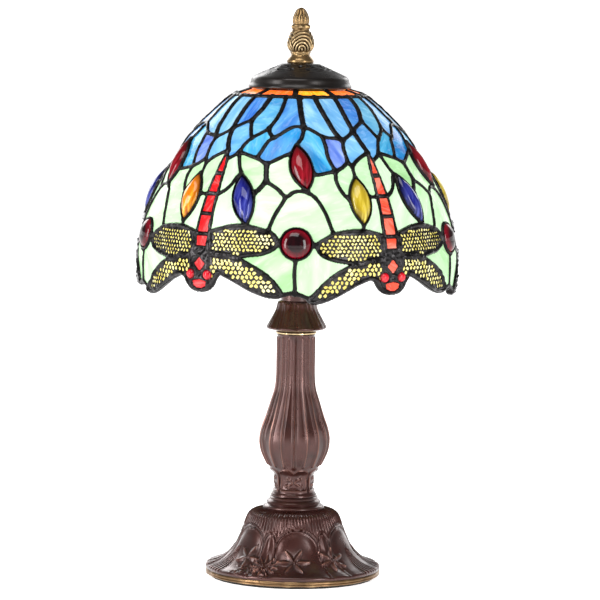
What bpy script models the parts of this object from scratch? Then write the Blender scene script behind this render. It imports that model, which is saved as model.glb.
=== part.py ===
"""Table lamp: a leaded dragonfly shade on a cast, bronze-finished foot and column.

Metres, +Z up. The origin is the centre of the felt pad's underside, and -Y is the front.
Outlines are in millimetres, as (radius, height) for turned pieces. Outlines on the shade are
(degrees, height), where degrees run round the shade to the right as seen from outside.
"""

import math

import bmesh
import bpy
from mathutils import Vector
from mathutils.geometry import delaunay_2d_cdt

MM = 0.001

# Driving sizes, in millimetres.
GAP = 0.3
FOOT_RADIUS = 55.0
FELT_RADIUS = 52.0
FELT_TOP = 1.2
RIM_TOP = 4.7
TUBE_RADIUS = 5.0
TUBE_BORE = 3.5
TUBE_HOLE = TUBE_RADIUS + 0.4
BASE_TOP = 51.0
COLUMN_BOTTOM = BASE_TOP + GAP
COLUMN_TOP = 153.6
COLLAR_BOTTOM = COLUMN_TOP + GAP
COLLAR_TOP = 180.6
STRAP_BOTTOM = COLLAR_TOP + GAP
STRAP_TOP = STRAP_BOTTOM + 1.6
SHELL_BOTTOM = 188.0
SHELL_TOP = 212.0
BULB_CENTRE = 242.0
BULB_RADIUS = 22.5
HARP_SHOULDER = 303.6
SPIDER_BOTTOM = 305.3
STUD_RADIUS = 3.0
STUD_BOTTOM = 301.7
STUD_TOP = 337.0
STUD_HOLE = STUD_RADIUS + 0.5
CAP_TOP = 323.2
FINIAL_TOP = 358.5
BUSHING_HEIGHT = 15.0
BUSHING_RADIUS = 5.6
BUSHING_BORE = 3.2
FLUTES = 16
FLUTE_DEPTH = 0.7
CURVED_STEP = 13.0  # spacing of the points inside a curved sheet
FLAT_STEP = 70.0  # more than any flat plate's width, so that none gets points inside

# The shade: its sectors, the offsets of its layers from its outer surface, and that surface as
# (height, radius) from the lowest wing tips to the crown.
SECTORS = 5
SECTOR_DEG = 360 / SECTORS
GLASS_OUT = -0.5
GLASS_IN = -3.3
METAL_OUT = 0.0
METAL_IN = -3.6
JEWEL_RISE = 4.2
CROWN_LINE = 304.6
CROWN_TOP = 308.0
SHADE_PROFILE = [
    (181.0, 99.4), (190.0, 100.0), (207.0, 100.0), (222.0, 97.4), (236.0, 92.8), (250.0, 86.0),
    (264.0, 77.6), (278.0, 68.9), (290.0, 58.2), (304.0, 42.3), (308.0, 31.3),
]

# One dragonfly, in degrees from its own middle line, clockwise from its tail tip.
TAIL_TIP = [(0, 272.5)]
RIGHT_TAIL = [(1.6, 267), (2.3, 258), (2.9, 246), (3.1, 235), (3.3, 225)]
RIGHT_UPPER_WING_TOP = [(7, 227), (12, 229), (18, 229), (23, 227.5), (27, 225.5), (29.3, 222)]
RIGHT_UPPER_WING_TIP = [(29.7, 218)]
RIGHT_UPPER_WING_BOTTOM = [(28, 214), (24, 211), (20, 210), (16.5, 208.9)]
RIGHT_LOWER_WING_TOP = [(21, 205), (25.5, 200.5), (29, 195), (31.3, 189.5)]
RIGHT_LOWER_WING_BOTTOM = [
    (31.3, 186.6), (29.5, 185.2), (26, 185.5), (22, 187.5), (18, 190.5), (13, 194.8), (8, 198.6),
]
HEAD = [(6.5, 195), (5.2, 191), (3.2, 188), (0, 187), (-3.2, 188), (-5.4, 191), (-6.8, 195)]
LEFT_LOWER_WING_BOTTOM = [
    (-9, 196.3), (-13.5, 193.5), (-18, 189.5), (-23, 185), (-27.5, 182.3), (-30.7, 182.4),
]
LEFT_LOWER_WING_TOP = [(-31.7, 185), (-29, 190), (-25, 197), (-21, 202), (-16.5, 205.9)]
LEFT_UPPER_WING_BOTTOM = [(-22, 207.5), (-26.5, 210.2), (-28.8, 214.5)]
LEFT_UPPER_WING_TIP = [(-28.6, 219)]
LEFT_UPPER_WING_TOP = [(-25.5, 222.5), (-22, 225.3), (-16, 227), (-10, 226.8), (-6.5, 225.6)]
LEFT_TAIL = [(-3.3, 224), (-3.1, 235), (-2.9, 246), (-2.3, 258), (-1.6, 267)]

# The line between blue and green glass across one sector, and the arch between two lower wings.
SKYLINE = [
    (-29.5, 271.5), (-24, 270), (-19, 268.4), (-14.2, 265), (-9, 267.6), (-5.4, 270.6),
    (5.4, 268), (8, 259.6), (12.5, 260.2), (17, 261.6), (20.5, 263.8), (23.5, 266.8),
    (25.5, 263.6), (30, 268), (34, 270.8),
]
ARCH = [(-3.9, 187.4), (-2, 188.4), (0.5, 188.2), (3.2, 186.2)]

# Jewels with their solder rims: degrees and height of the middle, length, width, and tilt left.
MARQUISES = {
    "red_marquise": (1.6, 263.3, 32.0, 14.4, 13.0),
    "blue_marquise": (-21.5, 244.0, 34.0, 14.4, 15.7),
    "amber_marquise": (25.4, 243.8, 31.5, 14.4, 1.0),
}
CABOCHON_HEIGHT = 218.3
CABOCHON_DIAMETER = 20.4


def clear_scene():
    for obj in list(bpy.data.objects):
        bpy.data.objects.remove(obj)


def material(name, colour, roughness, metallic=0.0):
    mat = bpy.data.materials.new(name)
    mat.use_nodes = True
    shader = mat.node_tree.nodes["Principled BSDF"]
    shader.inputs["Base Color"].default_value = (*colour, 1)
    shader.inputs["Roughness"].default_value = roughness
    shader.inputs["Metallic"].default_value = metallic
    return mat


def finish_mesh(bm, name):
    """Turns a bmesh into a mesh with its faces pointing out, smooth apart from its sharp edges."""
    bmesh.ops.recalc_face_normals(bm, faces=bm.faces)
    mesh = bpy.data.meshes.new(name)
    bm.to_mesh(mesh)
    bm.free()
    mesh.shade_smooth()
    mesh.set_sharp_from_angle(angle=math.radians(35))
    return mesh


def add_object(name, mesh, mat=None):
    """Links an object for this mesh. With no material it is a helper for a Boolean."""
    obj = bpy.data.objects.new(name, mesh)
    if mat is None:
        obj.hide_render = True
        obj.display_type = "WIRE"
    elif not mesh.materials:
        mesh.materials.append(mat)
    bpy.context.scene.collection.objects.link(obj)
    return obj


def boolean(obj, other, operation):
    modifier = obj.modifiers.new(other.name, "BOOLEAN")
    modifier.object = other
    modifier.operation = operation
    modifier.solver = "EXACT"


# --- Turned pieces --------------------------------------------------------------------------


def turned_mesh(name, outline, steps=24, reshape=None):
    """Turns an outline about Z. It closes on itself unless its first point lies on the axis."""
    bm = bmesh.new()
    verts = [bm.verts.new((radius * MM, 0, height * MM)) for radius, height in outline]
    edges = [bm.edges.new(pair) for pair in zip(verts, verts[1:])]
    if outline[0][0] > 0:
        edges.append(bm.edges.new((verts[-1], verts[0])))
    bmesh.ops.spin(
        bm,
        geom=verts + edges,
        axis=(0, 0, 1),
        cent=(0, 0, 0),
        angle=math.tau,
        steps=steps,
        use_merge=True,
    )
    bmesh.ops.remove_doubles(bm, verts=bm.verts, dist=0.001 * MM)
    if reshape:
        for vert in bm.verts:
            reshape(vert)
    return finish_mesh(bm, name)


def turned(name, outline, mat, steps=24, reshape=None):
    return add_object(name, turned_mesh(name, outline, steps, reshape), mat)


def ring_outline(inner, outer, bottom, top):
    return [(inner, bottom), (outer, bottom), (outer, top), (inner, top)]


# --- Pieces cut from a sheet ----------------------------------------------------------------


def inside(point, outline):
    """True if a 2D point lies inside a closed outline."""
    x, y = point
    found = False
    for (ax, ay), (bx, by) in zip(outline, outline[1:] + outline[:1]):
        if (ay > y) != (by > y) and x < ax + (y - ay) * (bx - ax) / (by - ay):
            found = not found
    return found


def in_sheet(point, outline, holes):
    return inside(point, outline) and not any(inside(point, hole) for hole in holes)


def grid_points(outline, holes, spacing):
    """Points on a grid inside the sheet that keep clear of its edges."""
    low_x, low_y = (min(p[axis] for p in outline) for axis in (0, 1))
    high_x, high_y = (max(p[axis] for p in outline) for axis in (0, 1))
    corners = [corner for loop in [outline] + holes for corner in loop]
    found = []
    for column in range(1, int((high_x - low_x) / spacing) + 1):
        for row in range(1, int((high_y - low_y) / spacing) + 1):
            point = (low_x + column * spacing, low_y + row * spacing)
            clear = all(math.dist(point, corner) > spacing / 2 for corner in corners)
            if clear and in_sheet(point, outline, holes):
                found.append(point)
    return found


def triangulate(outline, holes, spacing):
    """Points and triangles that fill an outline, less its holes, which may cross its edge."""
    points = []
    edges = []
    for loop in [outline] + holes:
        start = len(points)
        points += loop
        edges += [(start + i, start + (i + 1) % len(loop)) for i in range(len(loop))]
    points = points + grid_points(outline, holes, spacing)
    found = delaunay_2d_cdt([Vector(p) for p in points], edges, [], 0, 1e-6)
    places = [tuple(v) for v in found[0]]
    triangles = []
    for face in found[2]:
        middle = [sum(places[i][axis] for i in face) / 3 for axis in (0, 1)]
        if in_sheet(middle, outline, holes):
            triangles.append(face)
    return places, triangles


def sheet_mesh(name, outline, holes, spacing, upper, lower):
    """A sheet with thickness. upper and lower place a 2D point on either face."""
    points, triangles = triangulate(outline, holes, spacing)
    bm = bmesh.new()
    top = [bm.verts.new(upper(*point)) for point in points]
    bottom = [bm.verts.new(lower(*point)) for point in points]
    bm.verts.index_update()
    for face in triangles:
        bm.faces.new([top[i] for i in face])
        bm.faces.new([bottom[i] for i in reversed(face)])
    rim = [e for e in bm.edges if e.is_boundary and e.verts[0].index < len(points)]
    for a, b in [(edge.verts[0].index, edge.verts[1].index) for edge in rim]:
        bm.faces.new((top[a], top[b], bottom[b], bottom[a]))
    unused = [vert for vert in bm.verts if not vert.link_faces]
    bmesh.ops.delete(bm, geom=unused, context="VERTS")
    return finish_mesh(bm, name)


def circle(radius, steps, x=0.0, y=0.0):
    angles = [math.tau * i / steps for i in range(steps)]
    return [(x + radius * math.sin(a), y + radius * math.cos(a)) for a in angles]


def flat_plate(name, outline, holes, bottom, top):
    """A flat plate between two heights, for an outline in plan, in millimetres."""
    return sheet_mesh(
        name,
        outline,
        holes,
        FLAT_STEP,
        lambda x, y: Vector((x, y, top)) * MM,
        lambda x, y: Vector((x, y, bottom)) * MM,
    )


# --- The shade's surface --------------------------------------------------------------------


def shade_surface(height):
    """Radius and slope of the shade's outer surface, as a smooth curve through its profile."""
    knots = SHADE_PROFILE
    i = max([j for j in range(len(knots) - 1) if knots[j][0] <= height] or [0])
    (z1, r1), (z2, r2) = knots[i : i + 2]
    span = z2 - z1
    before = knots[i - 1] if i else (z1 - span, 2 * r1 - r2)
    after = knots[i + 2] if i + 2 < len(knots) else (z2 + span, 2 * r2 - r1)
    start = (r2 - before[1]) / (z2 - before[0]) * span
    end = (after[1] - r1) / (after[0] - z1) * span
    t = (height - z1) / span
    radius = (
        (2 * t**3 - 3 * t**2 + 1) * r1
        + (t**3 - 2 * t**2 + t) * start
        + (3 * t**2 - 2 * t**3) * r2
        + (t**3 - t**2) * end
    )
    rise = (6 * t**2 - 6 * t) * (r1 - r2) + (3 * t**2 - 4 * t + 1) * start + (3 * t**2 - 2 * t) * end
    return radius, rise / span


def shade_section(height, offset):
    """(radius, height) of the shade's section, offset millimetres out along its normal."""
    radius, slope = shade_surface(height)
    length = math.hypot(1, slope)
    return radius + offset / length, height - offset * slope / length


def shade_point(degrees, height, offset):
    radius, raised = shade_section(height, offset)
    angle = math.radians(degrees)
    return Vector((radius * math.sin(angle), -radius * math.cos(angle), raised)) * MM


def inset(outline, distance, mm_per_degree):
    """Moves an outline on the shade inwards, or outwards if distance is negative."""
    flat = [Vector((degrees * mm_per_degree, height)) for degrees, height in outline]
    area = sum(a.cross(b) for a, b in zip(flat, flat[1:] + flat[:1]))
    signed = math.copysign(distance, area * distance)
    moved = []
    for i, corner in enumerate(flat):
        into = (corner - flat[i - 1]).normalized()
        out = (flat[(i + 1) % len(flat)] - corner).normalized()
        side = Vector((-into.y, into.x))
        middle = (side + Vector((-out.y, out.x))).normalized()
        place = corner + middle * signed / max(middle.dot(side), 0.4)
        moved.append((place.x / mm_per_degree, place.y))
    return moved


def shade_sheet(name, outline, holes, outer, inner):
    """A piece of the shade between two offsets, with half a gap all round."""
    middle_height = sum(height for _, height in outline) / len(outline)
    mm_per_degree = math.radians(shade_surface(middle_height)[0])
    return sheet_mesh(
        name,
        inset(outline, GAP / 2, mm_per_degree),
        [inset(hole, -GAP / 2, mm_per_degree) for hole in holes],
        CURVED_STEP,
        lambda degrees, height: shade_point(degrees, height, outer),
        lambda degrees, height: shade_point(degrees, height, inner),
    )


def marquise_outline(degrees, height, length, width, tilt, steps=10):
    """A pointed oval on the shade: two equal arcs that meet at its tips."""
    radius, slope = shade_surface(height)
    half = length / 2
    bow = (half**2 + (width / 2) ** 2) / width
    lean = math.radians(tilt)
    outline = []
    for i in range(steps):
        along = half * math.cos(math.tau * i / steps)
        across = math.sqrt(bow**2 - along**2) - bow + width / 2
        across = math.copysign(across, steps / 2 - i)
        right = across * math.cos(lean) - along * math.sin(lean)
        up = across * math.sin(lean) + along * math.cos(lean)
        outline.append((degrees + math.degrees(right / radius), height + up / math.hypot(1, slope)))
    return outline


def cabochon_outline():
    radius = shade_surface(CABOCHON_HEIGHT)[0]
    points = circle(CABOCHON_DIAMETER / 2, 14, 0.0, CABOCHON_HEIGHT)
    return [(math.degrees(x / radius), y) for x, y in points]


def jewel_mesh(name, outline):
    """A domed stone with a flat back that fills an outline on the shade."""
    degrees = sum(p[0] for p in outline) / len(outline)
    height = sum(p[1] for p in outline) / len(outline)
    layers = [(1.0, GLASS_IN), (1.0, 0.2), (0.6, JEWEL_RISE * 0.75)]
    bm = bmesh.new()
    rings = []
    for share, offset in layers:
        rings.append([])
        for x, y in outline:
            place = shade_point(degrees + share * (x - degrees), height + share * (y - height), offset)
            rings[-1].append(bm.verts.new(place))
    for low, high in zip(rings, rings[1:]):
        for i in range(len(outline)):
            bm.faces.new((low[i - 1], low[i], high[i], high[i - 1]))
    for ring, offset in ((rings[0], GLASS_IN), (rings[-1], JEWEL_RISE)):
        tip = bm.verts.new(shade_point(degrees, height, offset))
        for i in range(len(outline)):
            bm.faces.new((ring[i - 1], ring[i], tip))
    return finish_mesh(bm, name)


# --- The foot and the column ----------------------------------------------------------------


def foot(felt, brass, steel, bronze, rubber):
    turned("felt_pad", [(0, 0), (FELT_RADIUS, 0), (FELT_RADIUS, FELT_TOP), (0, FELT_TOP)], felt, 32)
    turned("base_rim", ring_outline(46.0, FOOT_RADIUS, FELT_TOP + GAP, RIM_TOP), brass, 32)
    plate_bottom = RIM_TOP + GAP
    turned("bottom_plate", ring_outline(TUBE_HOLE, 44.0, plate_bottom, plate_bottom + 1.4), steel)
    nut = flat_plate("tube_nut", circle(8.5, 6), [circle(TUBE_HOLE, 12)], FELT_TOP + GAP, RIM_TOP)
    add_object("tube_nut", nut, brass)
    bell = [
        (54.9, RIM_TOP + GAP), (54.7, 6.3), (51, 7.6), (47.5, 8.9), (44.2, 10.8), (40.8, 13.6),
        (37.8, 17), (35.4, 21), (33.4, 25.5), (31.8, 30), (30.4, 34.5), (28.6, 38.8),
        (25, 41.8), (18.8, 42.8), (18.6, 45.2), (16.6, 46.4), (16.3, 48.4), (14.8, 49.4),
        (14.8, BASE_TOP), (TUBE_HOLE, BASE_TOP), (TUBE_HOLE, 46.6), (13.6, 44.4), (22.6, 39.4),
        (26.2, 36), (28, 31.6), (29.6, 26.4), (31.8, 21), (34.6, 16.4), (38, 12.6),
        (42, 9.4), (46, 7.4), (50.2, 6.2), (50.6, RIM_TOP + GAP),
    ]
    casting = turned("base_casting", bell, bronze, 32)
    hole = turned_mesh("cord_hole", [(0, 20), (5.9, 20), (5.9, 70), (0, 70)], 12)
    cutter = place_at_back(add_object("cord_hole", hole))
    boolean(casting, cutter, "DIFFERENCE")
    sleeve = [
        (BUSHING_BORE, 31.4), (5.2, 31.4), (BUSHING_RADIUS, 32), (BUSHING_RADIUS, 46),
        (5.0, 46.6), (BUSHING_BORE, 46.6),
    ]
    place_at_back(turned("cord_bushing", sleeve, rubber, 12))


def place_at_back(obj):
    """Lays a piece turned about Z along +Y, at the height where the cord leaves the foot."""
    obj.location.z = BUSHING_HEIGHT * MM
    obj.rotation_euler.x = math.radians(-90)
    return obj


def column_radius(vert):
    """Sinks every second line of the column's skin, for its flutes."""
    radius = vert.co.xy.length
    if radius > 2 * TUBE_RADIUS * MM:
        wave = 0.5 - 0.5 * math.cos(FLUTES * math.atan2(vert.co.y, vert.co.x))
        vert.co.xy *= 1 - wave * FLUTE_DEPTH * MM / radius


def column(bronze, zinc):
    tube = ring_outline(TUBE_BORE, TUBE_RADIUS, FELT_TOP + 2 * GAP, SHELL_BOTTOM - 2)
    turned("threaded_tube", tube, zinc, 12)
    baluster = [
        (14.6, COLUMN_BOTTOM), (12.6, 54.5), (10.7, 58), (10.7, 61.5), (12.4, 65), (14.7, 68),
        (17.4, 73), (20.4, 80), (21.4, 87), (20.2, 94), (17.3, 102), (14.2, 112), (12.1, 119),
        (11.2, 127), (11.2, 151.6), (12, 152.6), (12, COLUMN_TOP), (TUBE_HOLE, COLUMN_TOP),
        (TUBE_HOLE, COLUMN_BOTTOM),
    ]
    turned("column", baluster, bronze, 2 * FLUTES, column_radius)
    bell = [
        (12.2, COLLAR_BOTTOM), (12.2, 155.4), (17.6, 157), (18.5, 157.4), (18.5, 158.5),
        (15.6, 163.6), (13.1, 168.8), (11.8, 174), (9.8, 175),
        (9.8, COLLAR_TOP), (TUBE_HOLE, COLLAR_TOP), (TUBE_HOLE, COLLAR_BOTTOM),
    ]
    turned("collar", bell, bronze)


# --- Inside the shade -----------------------------------------------------------------------


def tube_mesh(name, path, radius, sides):
    """A round wire along a path of (x, height) points in the XZ plane."""
    points = [Vector((x, 0, z)) * MM for x, z in path]
    bm = bmesh.new()
    rings = []
    for i, point in enumerate(points):
        along = (points[min(i + 1, len(points) - 1)] - points[max(i - 1, 0)]).normalized()
        across = Vector((along.z, 0, -along.x))
        turns = [math.tau * step / sides for step in range(sides)]
        spokes = [across * math.cos(turn) + Vector((0, math.sin(turn), 0)) for turn in turns]
        rings.append([bm.verts.new(point + radius * MM * spoke) for spoke in spokes])
    for low, high in zip(rings, rings[1:]):
        for i in range(sides):
            bm.faces.new((low[i - 1], low[i], high[i], high[i - 1]))
    bm.faces.new(rings[0])
    bm.faces.new(rings[-1])
    return finish_mesh(bm, name)


def harp_path():
    """Half of the loop as a smooth bow, then its mirror image."""
    bow = [(29, STRAP_BOTTOM + 0.8), (30.5, 188), (34, 203), (36, 220), (35.5, 240), (33, 260)]
    bow += [(28, 277), (20.5, 290), (11, 297.5), (0, 299.5)]
    return bow + [(-x, z) for x, z in bow[-2::-1]]


def harp(brass):
    """A strap under the lampholder, a wire loop and a socket joined into one piece, and its stud."""
    strap_outline = [(-32, -6), (32, -6), (32, 6), (-32, 6)]
    strap = flat_plate("harp", strap_outline, [circle(TUBE_HOLE, 12)], STRAP_BOTTOM, STRAP_TOP)
    obj = add_object("harp", strap, brass)
    floor = STUD_BOTTOM - GAP
    socket = [
        (0, 295.5), (5.5, 295.5), (5.5, HARP_SHOULDER), (STUD_RADIUS + GAP, HARP_SHOULDER),
        (STUD_RADIUS + GAP, floor), (0, floor),
    ]
    boolean(obj, add_object("harp_wire", tube_mesh("harp_wire", harp_path(), 1.7, 8)), "UNION")
    boolean(obj, add_object("harp_socket", turned_mesh("harp_socket", socket, 12)), "UNION")
    stud = [(0, STUD_BOTTOM), (STUD_RADIUS, STUD_BOTTOM), (STUD_RADIUS, STUD_TOP), (0, STUD_TOP)]
    turned("harp_stud", stud, brass, 12)


def lampholder(porcelain, brass):
    base_bottom = STRAP_TOP + GAP
    base_top = SHELL_BOTTOM - GAP
    base = [
        (TUBE_HOLE, base_bottom), (12.5, base_bottom), (14, base_bottom + 1.5), (14, base_top),
        (TUBE_HOLE, base_top),
    ]
    turned("lampholder_base", base, porcelain, 20)
    shell = [
        (3, SHELL_BOTTOM), (14, SHELL_BOTTOM), (14, 205), (15.4, 206.5), (15.4, 209.5),
        (13.8, SHELL_TOP), (8.2, SHELL_TOP), (8.2, SHELL_BOTTOM + 1.4), (3, SHELL_BOTTOM + 1.4),
    ]
    turned("lampholder_shell", shell, brass, 20)


def bulb(glass, brass):
    cap_top = SHELL_TOP - 1
    cap = [(0, SHELL_BOTTOM + 1.7), (2.6, SHELL_BOTTOM + 1.7), (6.8, 192.5), (6.8, cap_top), (0, cap_top)]
    turned("bulb_screw_cap", cap, brass, 16)
    wall = 0.9
    neck_bottom = cap_top + GAP
    outer = [(6.8, neck_bottom), (8, 217)]
    inner = [(6.8 - wall, neck_bottom), (8 - wall, 217)]
    for step in range(7):
        angle = math.radians(-52 + step * 142 / 6)
        for side, radius in ((outer, BULB_RADIUS), (inner, BULB_RADIUS - wall)):
            side.append((radius * math.cos(angle), BULB_CENTRE + radius * math.sin(angle)))
    outer[-1] = (0, BULB_CENTRE + BULB_RADIUS)
    inner[-1] = (0, BULB_CENTRE + BULB_RADIUS - wall)
    turned("bulb_glass", outer[::-1] + inner, glass, 18)


# --- The shade's pieces ---------------------------------------------------------------------


def repeat_round(name, mesh, mat, parent, first=0.0):
    """One object for each sector, all sharing one mesh."""
    for number in range(SECTORS):
        obj = add_object(f"{name}_{number + 1}", mesh, mat)
        obj.parent = parent
        obj.rotation_euler.z = math.radians(first + number * SECTOR_DEG)


def shifted(outline, degrees):
    return [(x + degrees, height) for x, height in outline]


def dragonfly_outline():
    right = RIGHT_TAIL + RIGHT_UPPER_WING_TOP + RIGHT_UPPER_WING_TIP + RIGHT_UPPER_WING_BOTTOM
    right += RIGHT_LOWER_WING_TOP + RIGHT_LOWER_WING_BOTTOM
    left = LEFT_LOWER_WING_BOTTOM + LEFT_LOWER_WING_TOP + LEFT_UPPER_WING_BOTTOM
    left += LEFT_UPPER_WING_TIP + LEFT_UPPER_WING_TOP + LEFT_TAIL
    return TAIL_TIP + right + HEAD + left


def blue_outline():
    """From the tail tip on the sector's left edge, along the skyline, and back along the crown."""
    half = SECTOR_DEG / 2
    tip = TAIL_TIP[0][1] + GAP
    crown = [(half - step * SECTOR_DEG / 10, CROWN_LINE) for step in range(11)]
    right_edge = [(half, tip), (half, 283), (half, 294)]
    left_edge = [(-half, 294), (-half, 283), (-half, tip), (1.5 - half, 268.2)]
    return SKYLINE + right_edge + crown + left_edge


def green_outline():
    """Down a tail, along the tops of two upper wings, up the next tail, and back on the skyline."""
    half = SECTOR_DEG / 2
    left = shifted(RIGHT_TAIL + RIGHT_UPPER_WING_TOP, -half)
    right = shifted(LEFT_UPPER_WING_TOP + LEFT_TAIL, half)
    return left + right + SKYLINE[::-1]


def lower_green_outline():
    """The glass under the cabochon, between the upper and the lower wings of two dragonflies."""
    half = SECTOR_DEG / 2
    left = shifted(RIGHT_UPPER_WING_BOTTOM + RIGHT_LOWER_WING_TOP, -half)
    right = shifted(LEFT_LOWER_WING_TOP + LEFT_UPPER_WING_BOTTOM, half)
    return left + ARCH + right


def shade(lead):
    """Every piece of the shade hangs on one empty, which lies on the axis that it turns about."""
    axis = bpy.data.objects.new("shade_axis", None)
    bpy.context.scene.collection.objects.link(axis)
    sky = material("sky_blue_glass", (0.16, 0.45, 0.85), 0.2)
    mint = material("mint_green_glass", (0.62, 0.9, 0.66), 0.2)
    orange = material("orange_glass", (0.95, 0.3, 0.05), 0.2)
    stones = {
        "red_marquise": material("red_jewel_glass", (0.4, 0.005, 0.02), 0.08),
        "blue_marquise": material("blue_jewel_glass", (0.01, 0.02, 0.45), 0.08),
        "amber_marquise": material("amber_jewel_glass", (0.85, 0.4, 0.04), 0.08),
    }
    sockets = {name: marquise_outline(*values) for name, values in MARQUISES.items()}
    round_socket = cabochon_outline()
    mm_per_degree = math.radians(shade_surface(CABOCHON_HEIGHT)[0])
    for name, socket in sockets.items():
        outline = inset(socket, GAP / 2, mm_per_degree)
        repeat_round(name, jewel_mesh(name, outline), stones[name], axis)
    outline = inset(round_socket, GAP / 2, mm_per_degree)
    repeat_round("cabochon", jewel_mesh("cabochon", outline), stones["red_marquise"], axis)
    holes = list(sockets.values()) + [round_socket]
    blue = shade_sheet("blue_glass", blue_outline(), holes, GLASS_OUT, GLASS_IN)
    repeat_round("blue_glass", blue, sky, axis)
    green = shade_sheet("green_glass", green_outline(), holes, GLASS_OUT, GLASS_IN)
    repeat_round("green_glass", green, mint, axis)
    lower = shade_sheet("lower_green_glass", lower_green_outline(), [round_socket], GLASS_OUT, GLASS_IN)
    repeat_round("lower_green_glass", lower, mint, axis)
    insect = shade_sheet("dragonfly", dragonfly_outline(), [], METAL_OUT, METAL_IN)
    repeat_round("dragonfly", insect, lead, axis, SECTOR_DEG / 2)
    heights = (CROWN_LINE + GAP, (CROWN_LINE + CROWN_TOP) / 2, CROWN_TOP)
    band = [shade_section(height, GLASS_OUT) for height in heights]
    band += [shade_section(height, GLASS_IN) for height in reversed(heights)]
    turned("orange_band", band, orange, 40).parent = axis
    spider(lead).parent = axis


def spider(lead):
    """A round plate with four windows, which closes the crown and carries the shade."""
    windows = []
    for quarter in range(4):
        angles = [math.radians(90 * quarter + 12 + 16.5 * step) for step in range(5)]
        outside = [(24.5 * math.sin(a), 24.5 * math.cos(a)) for a in angles]
        inner_side = [(9 * math.sin(a), 9 * math.cos(a)) for a in angles[::-2]]
        windows.append(outside + inner_side)
    holes = [circle(STUD_HOLE, 12)] + windows
    plate = flat_plate("shade_spider", circle(29.2, 32), holes, SPIDER_BOTTOM, SPIDER_BOTTOM + 1.8)
    return add_object("shade_spider", plate, lead)


def crown(bronze, brass, zinc):
    washer = ring_outline(STUD_HOLE, 14.0, HARP_SHOULDER + GAP, HARP_SHOULDER + 1.4)
    turned("support_washer", washer, zinc, 16)
    cap = [
        (STUD_HOLE, CAP_TOP), (11.6, CAP_TOP), (12.8, 322.6), (20.4, 319), (27.4, 315.6),
        (29.7, 313.8), (30.6, 311.6), (30.9, 309.4), (30, 308.3), (28.2, 308.3), (27.8, 312),
        (26.6, 313.4), (19.8, 316.8), (12.2, 320.4), (11, 321.4), (STUD_HOLE, 321.4),
    ]
    obj = turned("vented_cap", cap, bronze)
    for number in range(6):
        drill = turned_mesh("vent", [(0, 300), (2.4, 300), (2.4, 330), (0, 330)], 8)
        cutter = add_object(f"vent_{number + 1}", drill)
        angle = math.tau * number / 6
        cutter.location = Vector((18 * math.sin(angle), 18 * math.cos(angle), 0)) * MM
        boolean(obj, cutter, "DIFFERENCE")
    foot_of_finial = CAP_TOP + GAP
    bore = STUD_RADIUS + 0.3
    knob = [
        (0, FINIAL_TOP), (2, 357.6), (3.8, 354.6), (5, 351), (4.8, 348.4), (6.8, 346.5), (5.6, 344.4),
        (7.3, 340.6), (8.7, 336.6), (7.8, 333.2), (6, 331), (6.2, 328.8), (8.3, 326),
        (8.3, foot_of_finial), (bore, foot_of_finial), (bore, STUD_TOP + 1), (0, STUD_TOP + 1),
    ]
    turned("finial", knob, brass, 20)


def build():
    clear_scene()
    bronze = material("dark_bronze", (0.09, 0.035, 0.025), 0.4, 0.8)
    brass = material("antique_brass", (0.42, 0.28, 0.12), 0.35, 1.0)
    zinc = material("zinc_plate", (0.55, 0.55, 0.57), 0.35, 1.0)
    lead = material("blackened_solder", (0.045, 0.045, 0.05), 0.4, 0.9)
    felt = material("black_felt", (0.03, 0.03, 0.03), 0.95)
    rubber = material("black_rubber", (0.02, 0.02, 0.02), 0.7)
    porcelain = material("white_porcelain", (0.85, 0.84, 0.8), 0.2)
    bulb_glass = material("frosted_bulb_glass", (0.95, 0.93, 0.88), 0.5)
    foot(felt, brass, zinc, bronze, rubber)
    column(bronze, zinc)
    harp(brass)
    lampholder(porcelain, brass)
    bulb(bulb_glass, brass)
    shade(lead)
    crown(bronze, brass, zinc)


build()
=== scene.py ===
"""The looks of a table lamp: a leaded dragonfly shade on a cast bronze column and foot.

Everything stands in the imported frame: metres, +Z up, -Y to the front. Outlines are written in
millimetres, as (radius, height) for turned pieces and as (degrees, height) on the shade, where
degrees run round it to the right as seen from outside.
"""

import math
import random

import bpy
import numpy as np
from mathutils import Matrix, Vector
from mathutils.geometry import delaunay_2d_cdt


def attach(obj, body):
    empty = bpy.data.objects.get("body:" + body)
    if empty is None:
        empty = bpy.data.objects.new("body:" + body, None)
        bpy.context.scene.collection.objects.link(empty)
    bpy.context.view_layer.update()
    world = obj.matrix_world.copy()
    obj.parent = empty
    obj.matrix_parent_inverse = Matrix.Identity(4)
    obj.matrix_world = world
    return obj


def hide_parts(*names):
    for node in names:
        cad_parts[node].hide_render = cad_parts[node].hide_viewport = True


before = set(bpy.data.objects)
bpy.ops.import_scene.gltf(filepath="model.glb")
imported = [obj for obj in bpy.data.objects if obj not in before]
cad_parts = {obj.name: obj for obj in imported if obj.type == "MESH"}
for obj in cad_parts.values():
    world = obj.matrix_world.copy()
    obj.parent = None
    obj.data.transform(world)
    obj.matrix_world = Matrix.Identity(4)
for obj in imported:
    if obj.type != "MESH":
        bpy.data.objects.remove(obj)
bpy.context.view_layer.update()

MM = 0.001
SEED = 11

# The camera: it turns about the lamp's axis, looks a little down, and leans a little.
CAMERA_TURN = 0.4
CAMERA_DISTANCE = 2.316
CAMERA_HEIGHT = 0.400
CAMERA_AIM = (0.0021, 0.175)
CAMERA_ROLL = 0.9
CAMERA_LENS = 222.0

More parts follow.
